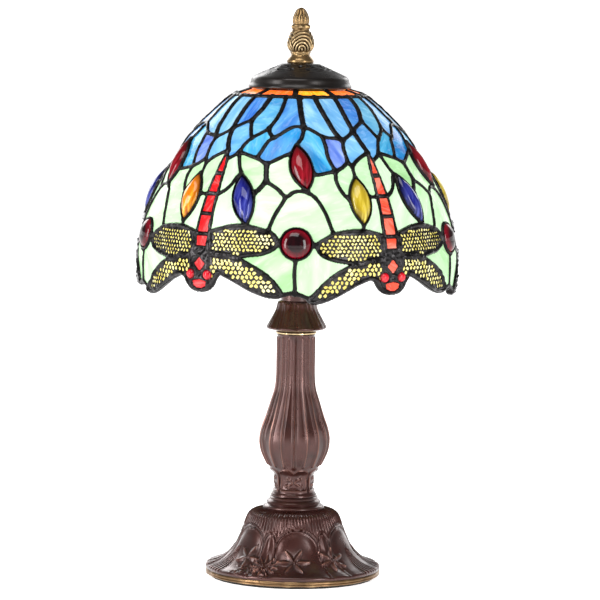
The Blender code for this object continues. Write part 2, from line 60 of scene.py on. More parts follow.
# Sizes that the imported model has, in millimetres.
GAP = 0.3
RIM_TOP = 4.7
RIM_RADIUS = 55
TUBE_HOLE = 5.4
BASE_TOP = 51.0
COLUMN_TOP = 153.6
COLLAR_TOP = 180.6
SHELL_BOTTOM = 188.0
SHELL_TOP = 212.0
BULB_CENTRE = 242.0
BULB_RADIUS = 22.5
HARP_SHOULDER = 303.6
STUD_TOP = 337.0
CAP_TOP = 323.2
FINIAL_TOP = 358.5
STRAP_BOTTOM = 180.9
STRAP_TOP = 182.5

# The shade: its sectors, its layers' offsets from its outer surface, and that surface.
SECTORS = 5
SECTOR_DEG = 360 / SECTORS
HALF = SECTOR_DEG / 2
GLASS_OUT = -0.5
GLASS_IN = -3.3
GLASS_MIDDLE = (GLASS_OUT + GLASS_IN) / 2
CROWN_LINE = 304.6
CROWN_TOP = 308.0
SHADE_BOTTOM = 180.0
MEAN_RADIUS = 80
SHADE_PROFILE = [
    (181.0, 99.4), (190.0, 100.0), (207.0, 100.0), (222.0, 97.4), (236.0, 92.8), (250.0, 86.0),
    (264.0, 77.6), (278.0, 68.9), (290.0, 58.2), (304.0, 42.3), (308.0, 31.3),
]

# One dragonfly, in degrees from its own middle line, clockwise from its tail tip. The outline is
# smooth between its corners, given by their numbers.
DRAGONFLY = [
    (0, 272.5), (1.6, 267), (2.3, 258), (2.9, 246), (3.1, 235), (3.3, 225), (7, 227), (12, 229),
    (18, 229), (23, 227.5), (27, 225.5), (29.3, 222), (29.7, 218), (28, 214), (24, 211), (20, 210),
    (16.5, 208.9), (21, 205), (25.5, 200.5), (29, 195), (31.3, 189.5), (31.3, 186.6),
    (29.5, 185.2), (26, 185.5), (22, 187.5), (18, 190.5), (13, 194.8), (8, 198.6), (6.5, 195),
    (5.2, 191), (3.2, 188), (0, 187), (-3.2, 188), (-5.4, 191), (-6.8, 195), (-9, 196.3),
    (-13.5, 193.5), (-18, 189.5), (-23, 185), (-27.5, 182.3), (-30.7, 182.4), (-31.7, 185),
    (-29, 190), (-25, 197), (-21, 202), (-16.5, 205.9), (-22, 207.5), (-26.5, 210.2),
    (-28.8, 214.5), (-28.6, 219), (-25.5, 222.5), (-22, 225.3), (-16, 227), (-10, 226.8),
    (-6.5, 225.6), (-3.3, 224), (-3.1, 235), (-2.9, 246), (-2.3, 258), (-1.6, 267),
]
DRAGONFLY_CORNERS = (0, 5, 16, 27, 34, 45, 55)
WING_DIVIDERS = [[(3, 211), (10, 210), (16.5, 208.9)], [(-3, 209), (-10, 207.5), (-16.5, 205.9)]]
BODY_WINDOWS = [
    [(0, 270.6), (0.95, 266), (1.6, 259.3), (-1.6, 259.3), (-0.95, 266)],
    [(1.65, 257.3), (2.1, 247.2), (-2.1, 247.2), (-1.65, 257.3)],
    [(2.1, 245.3), (2.3, 235.2), (-2.3, 235.2), (-2.1, 245.3)],
    [(2.3, 233.3), (2.4, 223.2), (-2.4, 223.2), (-2.3, 233.3)],
    [(2.4, 221.2), (2.1, 215.0), (-2.1, 215.0), (-2.4, 221.2)],
    [(0, 208.8), (2.5, 204.2), (0.4, 199.8), (-0.4, 199.8), (-2.5, 204.2)],
    [(3.1, 193.8), (2.7, 190.6), (1, 189), (-1, 189), (-2.7, 190.6), (-3.1, 193.8), (0, 195)],
]
# The wings' holes: from and up to a height, their spacing, and their long and short radii. Rows
# lie closer than the holes in a row, by HOLE_ROWS.
FILIGREE = [(182, 207, 2.95, 1.22, 0.94), (207, 230, 2.6, 0.98, 0.68)]
HOLE_ROWS = 0.87
DIVIDER_HALF = 2.2
EYES = [(3.6, 197.6), (-3.6, 197.6)]
EYE_RADIUS = 3.0
WING_BORDER = 2.7
WINGS_RADIUS = 99
BODY_HALF = 4.9

# Stones: degrees and height of the middle, length and width of the glass, and tilt to the left.
# LAP is how far a dragonfly's metal reaches past its outline and over its windows' glass.
MARQUISES = {
    "red_marquise": (1.6, 263.3, 29.8, 12.2, 13.0),
    "blue_marquise": (-21.5, 244.0, 31.6, 12.0, 15.7),
    "amber_marquise": (25.4, 243.8, 29.2, 12.0, 1.0),
}
MARQUISE_RISE = 4.2
CABOCHON_HEIGHT = 218.3
CABOCHON_RADIUS = 8.9
CABOCHON_RISE = 4.0
EYE_RISE = 2.6
STONE_RIM = 1.5
STONE_SEAT = 0.3
STONE_BACK = 1.2
LAP = 0.5

# The lead lines of one sector, with half widths. Lines meet at junctions, named by letters.
JUNCTIONS = {
    "A": (-40, 285), "B": (-30, 290.5), "C": (-17, 286), "D": (3, 287), "E": (23.5, 279.5),
    "F": (32, 285), "G": (-25, 280), "H": (-29.5, 271.5), "I": (-19.3, 268.3),
    "J": (-14.3, 265), "K": (-13, 280.5), "L": (12.7, 281.9), "M": (-13.3, 255),
    "N": (-4.5, 246), "O": (17, 261.5), "P": (8, 259.3), "Q": (23.6, 266.7), "R": (25.3, 263.6),
    "S": (-25.3, 259), "T": (-36, 272), "U": (36, 272),
}
WIDE, PLAIN, FINE = 1.9, 1.45, 1.2
LEADS = [
    (WIDE, [(31, 305), (31, 296), (31.5, 288), "F"]),
    (WIDE, [(-24.5, 305), (-26, 298), (-29, 292.5), "B"]),
    (PLAIN, [(-11, 305), (-12, 297), (-14.5, 290.5), "C"]),
    (WIDE, [(0, 305), (1, 298), (2.5, 290), "D"]),
    (WIDE, [(13, 305), (15, 299), (18, 291), (20, 285), (22.5, 280.5), "E"]),
    (PLAIN, ["A", (-36, 287.5), "B"]),
    (WIDE, ["A", (-39, 280), (-37.5, 275.5), "T"]),
    (PLAIN, ["B", (-28.5, 287), (-26.5, 282.5), "G"]),
    (PLAIN, ["C", (-20, 283.5), (-23, 281.5), "G", (-27, 277.5), (-28.5, 274.5), "H"]),
    (PLAIN, ["H", (-32, 269), (-35, 267)]),
    (PLAIN, ["H", (-26, 270.5), (-22, 269), "I", (-17.5, 267), "J"]),
    (PLAIN, ["C", (-15.5, 283), "K"]),
    (PLAIN, ["K", (-10, 282.5), (-6, 285.5), (-2, 287.3), "D"]),
    (PLAIN, ["K", (-15.5, 278.5), (-17, 275), (-18.5, 271), "I"]),
    (PLAIN, ["D", (7, 285.5), (11, 283), "L", (16, 281), (20, 280.5), "E"]),
    (PLAIN, ["D", (2.5, 283.5), (1.5, 280), (0, 278), (-0.7, 274.5)]),
    (PLAIN, ["J", (-12, 266.3), (-8, 269), (-4.5, 271), (-1, 271.6)]),
    (PLAIN, ["L", (13.8, 276), (14.2, 270), (16, 264), "O"]),
    (PLAIN, [(5, 263), "P", (12, 260), "O", (20.5, 263.5), "Q"]),
    (PLAIN, ["E", (23, 274), (23.5, 269), "Q", "R", (25.5, 255.5)]),
    (PLAIN, ["E", (27, 281.5), (30, 283.5), "F"]),
    (PLAIN, ["R", (28, 267), (32, 270), "U"]),
    (PLAIN, ["H", (-28.5, 268), (-27, 263), "S", (-24, 255.5)]),
    (PLAIN, ["S", (-27, 256.5), (-28.3, 252.5), (-30.3, 249), (-34.5, 245)]),
    (WIDE, ["J", (-13.8, 260), "M"]),
    (WIDE, ["M", (-15.5, 250.5), (-18.4, 246)]),
    (PLAIN, ["M", (-8, 250.5), "N", (-2, 248.5), (0.5, 249.5), (4, 248.8), (7, 246), (9, 242),
             (11, 236), (12.5, 229), (13.2, 225.5)]),
    (PLAIN, ["N", (-6, 241.5), (-8, 236), (-9.5, 230), (-10.2, 226)]),
    (PLAIN, ["O", (16.6, 256), (17.5, 251.5), (19.3, 247), (22, 243)]),
    (PLAIN, [(28.5, 246), (34.5, 246)]),
    (FINE, [(3.2, 253), (4.8, 248)]),
    (FINE, [(-19.4, 233), (-18.4, 226)]),
    (FINE, [(25.2, 233), (25.2, 222)]),
    (WIDE, [(-5, 218.3), (-7.8, 218)]),
    (WIDE, [(5, 218.3), (9, 217)]),
    (PLAIN, [(-0.2, 210.5), (-0.4, 200), (-0.2, 187.6)]),
    (PLAIN, [(-6, 187.2), (-3.9, 187.6), (-2, 188.4), (0.5, 188.2), (3.2, 186.4), (6, 184.6)]),
    (WIDE, [(-4, 304.6), (-4, 309)]),
    (WIDE, [(32, 304.6), (32, 309)]),
]

# The metal's rise over the glass, in front and behind, what dragonflies and stones' rims add to
# it, and the width over which its edges round off. The wings' pierced plates are flatter.
LEAD_RISE, BACK_RISE, FLY_RISE, RIM_RISE, LEAD_BEVEL = 1.0, 0.8, 0.7, 1.1, 1.25
PLATE_RISE, PLATE_BEVEL = 0.55, 0.3
# How softly leads run into each other where they meet.
SOLDER_BLEND = 0.45

# The glass of each pane, by a point near the pane's middle.
PANE_TINTS = [
    (-33, 297, "deep_blue"), (-20, 294, "sky_blue"), (-6, 294, "mid_blue"), (8, 293, "pale_blue"),
    (26, 292, "pale_blue"), (-34, 279, "mid_blue"), (-21, 275, "turquoise"), (-10, 275, "azure"),
    (7, 273, "turquoise"), (19, 271, "periwinkle"), (29, 276, "pale_blue"),
    (-31.5, 258, "white_mint"), (-19, 262, "green"), (-9, 259, "mint"), (-11, 241, "mint"),
    (-29, 238, "white_mint"), (1, 238, "mint"), (13, 247, "white_mint"), (20, 256, "mint"),
    (31, 258, "mint"), (31, 237, "white_mint"), (-4, 199, "green"), (5, 199, "mint"),
]
# The yellower panes of the orange band, as (sector, pane), and the sectors whose dragonfly bodies get a
# lighter, coral copy of the red glass: a painted highlight, not a glass of their own.
YELLOW_PANES = ((0, 2), (2, 1), (3, 2))
PAINTED_LIT_RED_SECTORS = (0, 2)

# Each kind of glass: its tones from dark to light, and how brightly the bulb lights it.
GLASS_TONES = {
    "deep_blue": ([(40, 100, 195), (70, 135, 212), (100, 165, 225)], 0.14),
    "mid_blue": ([(58, 120, 196), (86, 152, 210), (112, 176, 220)], 0.24),
    "sky_blue": ([(60, 138, 194), (94, 168, 208), (126, 190, 220)], 0.26),
    "pale_blue": ([(86, 150, 206), (114, 176, 220), (152, 200, 232)], 0.26),
    "turquoise": ([(18, 122, 184), (62, 158, 204), (102, 184, 222)], 0.14),
    "azure": ([(0, 96, 172), (12, 126, 194), (42, 152, 210)], 0.12),
    "periwinkle": ([(64, 96, 188), (104, 134, 210), (148, 170, 228)], 0.2),
    "green": ([(140, 188, 128), (158, 200, 147), (176, 212, 166)], 0.5),
    "mint": ([(158, 200, 148), (172, 209, 163), (187, 219, 179)], 0.5),
    "white_mint": ([(166, 206, 158), (180, 214, 173), (193, 221, 187)], 0.5),
    "deep_orange": ([(222, 74, 12), (238, 100, 30), (246, 128, 52)], 1.7),
    "yellow_orange": ([(240, 120, 15), (250, 150, 28), (254, 172, 48)], 1.7),
    "red_glass": ([(196, 8, 18), (216, 18, 26), (230, 44, 38)], 0.3),
    # A lighter, coral copy of red_glass: painted light on the bodies of some sectors' dragonflies.
    "coral_glass": ([(222, 50, 24), (235, 82, 56), (240, 142, 122)], 0.3),
    "wing_glass": ([(214, 196, 90), (236, 222, 124), (250, 244, 184)], 0.55),
}
# Stones: colours of the edge, the body and the bright streaks, and glow. The change from body to edge paints
# light passing through: darker rims on the marquises and a bright ring round the cabochon's dark middle. The
# streaks are partly real marbling and partly painted highlights.
STONE_TONES = {
    "red_stone": ((50, 0, 5), (108, 0, 12), (160, 28, 44), 0.1),
    "blue_stone": ((4, 4, 40), (8, 12, 104), (84, 92, 180), 0.12),
    "amber_stone": ((140, 66, 5), (196, 106, 8), (246, 182, 56), 0.22),
    "yellow_stone": ((104, 86, 16), (164, 140, 28), (224, 204, 84), 0.2),
    "eye_stone": ((130, 4, 20), (196, 14, 34), (236, 80, 80), 0.25),
    "cabochon_stone": ((128, 4, 26), (16, 0, 3), (48, 2, 9), 0.14),
}
# Cast metals: colours of hollows, faces and raised edges, roughness, metallic and coat. The raised edges'
# lighter colour is partly rubbed wear and partly a painted highlight.
METAL_TONES = {
    "bronze": ((14, 5, 4), (70, 31, 24), (156, 104, 86), 0.3, 0.6, 0.6),
    "dark_bronze": ((8, 6, 5), (26, 20, 17), (84, 68, 56), 0.3, 0.5, 0.15),
    "antique_brass": ((36, 24, 14), (138, 112, 76), (236, 210, 164), 0.26, 0.85, 0.0),
    "bright_brass": ((120, 96, 60), (214, 190, 146), (244, 230, 198), 0.2, 0.9, 0.0),
    "brass": ((60, 42, 26), (138, 108, 76), (214, 184, 136), 0.3, 0.85, 0.0),
}
# Even finishes: dark and light colours, roughness, metallic, mottling's scale, bump and specular.
PLAIN_TONES = {
    "black_lead": ((8, 7, 7), (26, 23, 23), 0.22, 0.0, 240.0, 0.4, 0.13),
    "grey_lead": ((7, 6, 6), (66, 64, 65), 0.24, 0.8, 110.0, 0.5, 0.15),
    "zinc": ((140, 142, 146), (190, 192, 196), 0.35, 1.0, 160.0, 0.3, 0.5),
    "felt": ((16, 17, 17), (44, 45, 45), 0.95, 0.0, 1200.0, 1.0, 0.5),
    "rubber": ((14, 14, 14), (30, 30, 30), 0.6, 0.0, 300.0, 0.3, 0.5),
    "porcelain": ((222, 220, 212), (238, 236, 228), 0.18, 0.0, 90.0, 0.05, 0.5),
}
# CAD pieces that keep their shape, and their finishes.
CAD_FINISHES = {
    "felt_pad": "felt", "bottom_plate": "zinc", "tube_nut": "brass", "threaded_tube": "zinc",
    "cord_bushing": "rubber", "harp_stud": "brass", "support_washer": "zinc",
    "shade_spider": "black_lead",
}

# The studio's soft lights: place, aim, width, height and power.
SOFTBOXES = {
    "left_light": ((-1.5, -0.9, 0.55), (0, 0, 0.15), 0.5, 1.5, 23),
    "right_light": ((1.2, -1.5, 0.6), (0, 0, 0.15), 0.45, 1.4, 18),
    "top_light": ((-0.3, -0.9, 1.9), (0, 0, 0.2), 1.3, 0.8, 16),
    "back_left_light": ((-1.0, 1.9, 1.0), (0, 0, 0.1), 1.4, 0.8, 15),
    "back_right_light": ((1.0, 1.9, 1.0), (0, 0, 0.1), 1.0, 0.7, 7),
}
WORLD_LIGHT = 0.22
BULB_WATTS = 0.35
FLOOR_REACH = 12
FLOOR_RISE = 2.2
FLOOR_GLOW = 0.82


def srgb(red, green, blue):
    """A colour as seen on screen, 0 to 255, as the linear numbers that a shader takes."""
    return tuple(((c / 255 + 0.055) / 1.055) ** 2.4 if c > 10 else c / 3295 for c in (red, green, blue))


# --- Camera, light and floor ----------------------------------------------------------------


def add_camera():
    turn = math.radians(CAMERA_TURN)
    aside, aim_height = CAMERA_AIM
    right = Vector((math.cos(turn), math.sin(turn), 0))
    back = Vector((math.sin(turn), -math.cos(turn), 0))
    data = bpy.data.cameras.new("camera")
    data.lens = CAMERA_LENS
    data.sensor_width = 36.0
    camera = bpy.data.objects.new("camera", data)
    camera.location = right * aside + back * CAMERA_DISTANCE + Vector((0, 0, CAMERA_HEIGHT))
    aim = right * aside + Vector((0, 0, aim_height))
    look = (aim - camera.location).to_track_quat("-Z", "Y").to_matrix().to_4x4()
    camera.matrix_world = (
        Matrix.Translation(camera.location) @ look @ Matrix.Rotation(math.radians(CAMERA_ROLL), 4, "Z")
    )
    bpy.context.scene.collection.objects.link(camera)
    bpy.context.scene.camera = camera


def add_softbox(name, place, aim, width, height, power):
    data = bpy.data.lights.new(name, "AREA")
    data.shape = "RECTANGLE"
    data.size = width
    data.size_y = height
    data.energy = power
    light = bpy.data.objects.new(name, data)
    light.location = place
    light.rotation_mode = "QUATERNION"
    light.rotation_quaternion = (Vector(aim) - Vector(place)).to_track_quat("-Z", "Y")
    bpy.context.scene.collection.objects.link(light)


def add_studio():
    scene = bpy.context.scene
    scene.view_settings.view_transform = "Standard"
    world = bpy.data.worlds.new("studio")
    world.use_nodes = True
    world.node_tree.nodes["Background"].inputs["Color"].default_value = (1, 1, 1, 1)
    world.node_tree.nodes["Background"].inputs["Strength"].default_value = WORLD_LIGHT
    scene.world = world
    for name, values in SOFTBOXES.items():
        add_softbox(name, *values)
    lamp = bpy.data.lights.new("bulb_light", "POINT")
    lamp.energy = BULB_WATTS
    lamp.shadow_soft_size = BULB_RADIUS * MM
    lamp.color = (1.0, 0.93, 0.8)
    lamp_object = bpy.data.objects.new("bulb_light", lamp)
    lamp_object.location = (0, 0, BULB_CENTRE * MM)
    scene.collection.objects.link(lamp_object)


def add_floor():
    """A pale floor that turns up some way off, so that a low view sees no horizon."""
    mesh = bpy.data.meshes.new("floor")
    corners = [(x * FLOOR_REACH, y * FLOOR_REACH) for x, y in ((-1, -1), (1, -1), (1, 1), (-1, 1))]
    verts = [(x, y, z) for z in (0, FLOOR_RISE) for x, y in corners]
    walls = [(i, i + 4, (i + 1) % 4 + 4, (i + 1) % 4) for i in range(4)]
    mesh.from_pydata(verts, [], [(0, 1, 2, 3)] + walls)
    mat, _ = new_material("pale_floor", Roughness=0.8, Specular_IOR_Level=0.1, Base_Color=(0.9, 0.9, 0.9, 1),
                          Emission_Color=(1, 1, 1, 1), Emission_Strength=FLOOR_GLOW)
    mesh.materials.append(mat)
    floor = bpy.data.objects.new("floor", mesh)
    bpy.context.scene.collection.objects.link(floor)


# --- Node helpers ---------------------------------------------------------------------------


def new_material(name, **values):
    """A material and its shader, with values set on the sockets that they are named after."""
    mat = bpy.data.materials.new(name)
    mat.use_nodes = True
    shader = mat.node_tree.nodes["Principled BSDF"]
    for socket, value in values.items():
        shader.inputs[socket.replace("_", " ")].default_value = value
    return mat, shader


def attribute(mat, name):
    node = mat.node_tree.nodes.new("ShaderNodeAttribute")
    node.attribute_name = name
    return node


def object_place(mat):
    """Where a texture is read when it follows the piece's own space."""
    return mat.node_tree.nodes.new("ShaderNodeTexCoord").outputs["Object"]


def noise(mat, place, scale, detail=3.0, distortion=0.0):
    """A noise texture's factor, read at a place."""
    node = mat.node_tree.nodes.new("ShaderNodeTexNoise")
    node.inputs["Scale"].default_value = scale
    node.inputs["Detail"].default_value = detail
    node.inputs["Distortion"].default_value = distortion
    mat.node_tree.links.new(place, node.inputs["Vector"])
    return node.outputs["Fac"]


def ramp(mat, factor, stops):
    """Colours along a factor, from (position, colour) stops."""
    node = mat.node_tree.nodes.new("ShaderNodeValToRGB")
    elements = node.color_ramp.elements
    while len(elements) < len(stops):
        elements.new(0.5)
    for element, (position, colour) in zip(elements, stops):
        element.position = position
        element.color = (*colour, 1)
    mat.node_tree.links.new(factor, node.inputs["Fac"])
    return node.outputs["Color"]


def mixed(mat, factor, first, second, blend="MIX"):
    """Mixes two colours, each an output or a fixed colour, by an output or a number."""
    node = mat.node_tree.nodes.new("ShaderNodeMix")
    node.data_type = "RGBA"
    node.blend_type = blend
    for name, value in (("Factor", factor), ("A", first), ("B", second)):
        socket = [s for s in node.inputs if s.name == name and s.enabled][0]
        if isinstance(value, bpy.types.NodeSocket):
            mat.node_tree.links.new(value, socket)
        elif isinstance(value, tuple):
            socket.default_value = (*value, 1)
        else:
            socket.default_value = value
    return [s for s in node.outputs if s.enabled][0]


def scaled(mat, value, low, high, to_low, to_high):
    """Maps a value from one range to another, clamped."""
    node = mat.node_tree.nodes.new("ShaderNodeMapRange")
    for name, number in (("From Min", low), ("From Max", high), ("To Min", to_low), ("To Max", to_high)):
        node.inputs[name].default_value = number
    mat.node_tree.links.new(value, node.inputs["Value"])
    return node.outputs["Result"]


def add_bump(mat, shader, height, strength, distance):
    node = mat.node_tree.nodes.new("ShaderNodeBump")
    node.inputs["Strength"].default_value = strength
    node.inputs["Distance"].default_value = distance
    mat.node_tree.links.new(height, node.inputs["Height"])
    mat.node_tree.links.new(node.outputs["Normal"], shader.inputs["Normal"])


def link(mat, output, shader, socket):
    mat.node_tree.links.new(output, shader.inputs[socket])


# --- Materials ------------------------------------------------------------------------------


def streaky_glass(name, tones, glow):
    """Opalescent sheet glass: its colour runs in streaks, and the bulb behind lights it."""
    mat, shader = new_material(name, Specular_IOR_Level=0.35, Emission_Strength=glow)
    place = attribute(mat, "glass_place").outputs["Vector"]
    wide = noise(mat, place, 1.0, 2.0, 0.8)
    stops = [(i / (len(tones) - 1), srgb(*tone)) for i, tone in enumerate(tones)]
    colour = ramp(mat, scaled(mat, wide, 0.3, 0.7, 0, 1), stops)
    fine = noise(mat, place, 4.0, 3.0, 0.4)
    colour = mixed(mat, scaled(mat, fine, 0.5, 0.8, 0, 0.1), colour, srgb(250, 252, 250))
    link(mat, colour, shader, "Base Color")
    lit = mixed(mat, 1.0, colour, attribute(mat, "bulb_glow").outputs["Color"], "MULTIPLY")
    link(mat, lit, shader, "Emission Color")
    link(mat, scaled(mat, fine, 0.3, 0.7, 0.14, 0.32), shader, "Roughness")
    add_bump(mat, shader, wide, 0.2, 0.0008)
    return mat


def stone_glass(name, edge, body, bright, glow):
    """Moulded glass with lengthwise streaks, partly painted highlights, and painted light: the rim's tone
    differs from the middle's, and the streaks are brightest low down. stone_place is across, along, depth.
    """
    mat, shader = new_material(name, Roughness=0.07, Specular_IOR_Level=0.4, Emission_Strength=glow)
    place = attribute(mat, "stone_place").outputs["Vector"]
    parts = mat.node_tree.nodes.new("ShaderNodeSeparateXYZ")
    mat.node_tree.links.new(place, parts.inputs["Vector"])
    # Painted light: the middle takes the body colour and the rim the edge colour, as light through the dome.
    depth = ramp(mat, parts.outputs["Z"], [(0.0, srgb(*body)), (0.55, srgb(*body)), (1.0, srgb(*edge))])
    streaks = noise(mat, attribute(mat, "stone_streaks").outputs["Vector"], 1.0, 3.0, 0.6)
    # Painted light: the bright streaks fade out towards the top of the stone.
    low = scaled(mat, parts.outputs["Y"], 0.9, -0.7, 0, 0.8)
    light = mixed(mat, scaled(mat, streaks, 0.42, 0.68, 0, 1), (0.0, 0.0, 0.0), (1.0, 1.0, 1.0))
    light = mixed(mat, 1.0, light, low, "MULTIPLY")
    colour = mixed(mat, light, depth, srgb(*bright))
    link(mat, colour, shader, "Base Color")
    link(mat, colour, shader, "Emission Color")
    return mat


def aged_metal(name, hollow, face, worn_and_highlit, roughness, metallic, coat):
    """Cast metal: dark in its hollows and lighter on its raised edges, by the relief attribute. The lighter
    edges are partly rubbed wear and partly a painted highlight.
    """
    mat, shader = new_material(name, Metallic=metallic, Coat_Weight=coat, Coat_Roughness=0.24)
    relief = attribute(mat, "relief").outputs["Fac"]
    # Raised edges take the worn tone: partly rubbed wear, partly a painted highlight.
    tones = ((0.15, hollow), (0.45, face), (0.58, face), (0.9, worn_and_highlit))
    colour = ramp(mat, relief, [(position, srgb(*tone)) for position, tone in tones])
    patches = noise(mat, object_place(mat), 70.0, 5.0, 0.6)
    colour = mixed(mat, scaled(mat, patches, 0.45, 0.75, 0, 0.55), colour, srgb(*hollow))
    link(mat, colour, shader, "Base Color")
    grain = noise(mat, object_place(mat), 900.0, 3.0)
    link(mat, scaled(mat, patches, 0.3, 0.7, roughness * 0.75, roughness * 1.35), shader, "Roughness")
    add_bump(mat, shader, grain, 0.2, 0.0002)
    return mat


def mottled(name, dark, light, roughness, metallic, scale, bump, specular):
    """An even finish with fine mottling, grain and uneven gloss."""
    mat, shader = new_material(name, Metallic=metallic, Specular_IOR_Level=specular)
    patches = noise(mat, object_place(mat), scale, 5.0, 0.3)
    link(mat, ramp(mat, patches, [(0.3, srgb(*dark)), (0.7, srgb(*light))]), shader, "Base Color")
    link(mat, scaled(mat, patches, 0.3, 0.7, roughness * 0.8, roughness * 1.25), shader, "Roughness")
    add_bump(mat, shader, noise(mat, object_place(mat), scale * 5, 3.0), bump, 0.0002)
    return mat


def bulb_frost():
    mat, shader = new_material("bulb_frost", Roughness=0.4, Emission_Color=(1.0, 0.9, 0.72, 1),
                               Emission_Strength=1.5)
    cloud = noise(mat, object_place(mat), 60.0, 3.0)
    colour = ramp(mat, cloud, [(0.3, srgb(250, 240, 220)), (0.7, srgb(255, 250, 238))])
    link(mat, colour, shader, "Base Color")
    return mat


def make_materials():
    """Every material by the name that the pieces ask for."""
    found = {}
    makers = ((streaky_glass, GLASS_TONES), (stone_glass, STONE_TONES), (aged_metal, METAL_TONES),
              (mottled, PLAIN_TONES))
    for maker, tones in makers:
        for name, values in tones.items():
            found[name] = maker(name, *values)
    found["bulb_frost"] = bulb_frost()
    return found


# --- Pieces ---------------------------------------------------------------------------------


def add_piece(name, verts, faces, mat, body, values=None, nodes=()):
    """A mesh in metres that rides on a body. values are per-vertex attributes for its material."""
    mesh = bpy.data.meshes.new(name)
    mesh.from_pydata([tuple(v) for v in np.asarray(verts).tolist()], [], [tuple(f) for f in faces])
    for key, numbers in (values or {}).items():
        numbers = np.asarray(numbers, np.float32)
        kind = "FLOAT" if numbers.ndim == 1 else "FLOAT_VECTOR"
        layer = mesh.attributes.new(key, kind, "POINT")
        layer.data.foreach_set("value" if kind == "FLOAT" else "vector", numbers.ravel())
    mesh.shade_smooth()
    mesh.set_sharp_from_angle(angle=math.radians(50))
    mesh.materials.append(mat)
    obj = bpy.data.objects.new(name, mesh)
    bpy.context.scene.collection.objects.link(obj)
    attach(obj, body)
    if nodes:
        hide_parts(*nodes)
    return obj


def spline(points, step):
    """A smooth line through 2D points, with about one new point every step, and the given ends."""
    points = [np.array(p, float) for p in points]
    if len(points) == 2:
        count = max(1, round(np.linalg.norm(points[1] - points[0]) / step))
        return [points[0] + (points[1] - points[0]) * i / count for i in range(count + 1)]
    padded = [2 * points[0] - points[1]] + points + [2 * points[-1] - points[-2]]
    line = []
    for before, start, end, after in zip(padded, padded[1:], padded[2:], padded[3:]):
        count = max(1, round(np.linalg.norm(end - start) / step))
        for i in range(count):
            t = i / count
            line.append(
                start
                + 0.5 * t * (end - before)
                + t * t * (before - 2.5 * start + 2 * end - 0.5 * after)
                + t**3 * (1.5 * start - 0.5 * before - 1.5 * end + 0.5 * after)
            )
    return line + [points[-1]]


def lumps(points, size, seed, waves=20):
    """Smooth random heights from -1 to 1 at 3D points in millimetres, for features of that size."""
    rng = np.random.default_rng(seed)
    total = np.zeros(len(points))
    for _ in range(waves):
        direction = rng.normal(size=3)
        direction *= math.tau / (size * rng.uniform(1.4, 3.0)) / np.linalg.norm(direction)
        total += np.sin(points @ direction + rng.uniform(0, math.tau))
    return total / math.sqrt(waves)


# --- The shade's surface --------------------------------------------------------------------


def shade_surface(height):
    """Radius and slope of the shade's outer surface, as a smooth curve through its profile."""
    knots = SHADE_PROFILE
    i = max([j for j in range(len(knots) - 1) if knots[j][0] <= height] or [0])
    (z1, r1), (z2, r2) = knots[i : i + 2]
    span = z2 - z1
    before = knots[i - 1] if i else (z1 - span, 2 * r1 - r2)
    after = knots[i + 2] if i + 2 < len(knots) else (z2 + span, 2 * r2 - r1)
    start = (r2 - before[1]) / (z2 - before[0]) * span
    end = (after[1] - r1) / (after[0] - z1) * span
    t = (height - z1) / span
    radius = (
        (2 * t**3 - 3 * t**2 + 1) * r1
        + (t**3 - 2 * t**2 + t) * start
        + (3 * t**2 - 2 * t**3) * r2
        + (t**3 - t**2) * end
    )
    rise = (6 * t**2 - 6 * t) * (r1 - r2) + (3 * t**2 - 4 * t + 1) * start + (3 * t**2 - 2 * t) * end
    return radius, rise / span


HEIGHTS = np.linspace(SHADE_BOTTOM, CROWN_TOP, 1025)
RADII, SLOPES = np.array([shade_surface(height) for height in HEIGHTS]).T
ARCS = np.concatenate([[0], np.cumsum(np.hypot(np.diff(HEIGHTS), np.diff(RADII)))])


def arc_of(height):
    """Distance up the shade's surface from its lowest edge, in millimetres."""
    return np.interp(height, HEIGHTS, ARCS)


def radius_at(arc):
    return np.interp(arc, ARCS, RADII)


def shade_places(degrees, arc, offset):
    """3D places in metres for degrees, arcs and offsets out along the shade's normal."""
    slope = np.interp(arc, ARCS, SLOPES)
    length = np.hypot(1, slope)
    radius = radius_at(arc) + offset / length
    height = np.interp(arc, ARCS, HEIGHTS) - offset * slope / length
    angle = np.radians(degrees)
    return np.stack([radius * np.sin(angle), -radius * np.cos(angle), height], -1) * MM


def on_shade(points):
    """(degrees, height) points as (degrees, arc)."""
    return [(degrees, float(arc_of(height))) for degrees, height in points]


def shifted(points, degrees):
    return [(x + degrees, y) for x, y in points]


def smooth_line(points, step=2.0):
    """A smooth line on the shade through (degrees, height) points, as (degrees, arc)."""
    scale = math.radians(MEAN_RADIUS)
    flat = [(degrees * scale, arc) for degrees, arc in on_shade(points)]
    return [(x / scale, y) for x, y in spline(flat, step)]


def marquise_outline(degrees, height, length, width, tilt, steps=48, grow=0.0):
    """A pointed oval as (degrees, arc): two equal arcs that meet at its tips."""
    arc = float(arc_of(height))
    radius = float(radius_at(arc))
    half = length / 2 + 1.6 * grow
    half_width = width / 2 + grow
    bow = (half**2 + half_width**2) / (2 * half_width)
    lean = math.radians(tilt)
    outline = []
    for i in range(steps):
        along = half * math.cos(math.tau * i / steps)
        across = math.sqrt(bow**2 - along**2) - bow + half_width
        across = math.copysign(across, steps / 2 - i)
        right = across * math.cos(lean) - along * math.sin(lean)
        up = across * math.sin(lean) + along * math.cos(lean)
        outline.append((degrees + math.degrees(right / radius), arc + up))
    return outline


def round_outline(degrees, height, radius, steps=40):
    arc = float(arc_of(height))
    mm_per_degree = math.radians(float(radius_at(arc)))
    turns = [math.tau * i / steps for i in range(steps)]
    return [(degrees + radius * math.sin(t) / mm_per_degree, arc + radius * math.cos(t)) for t in turns]


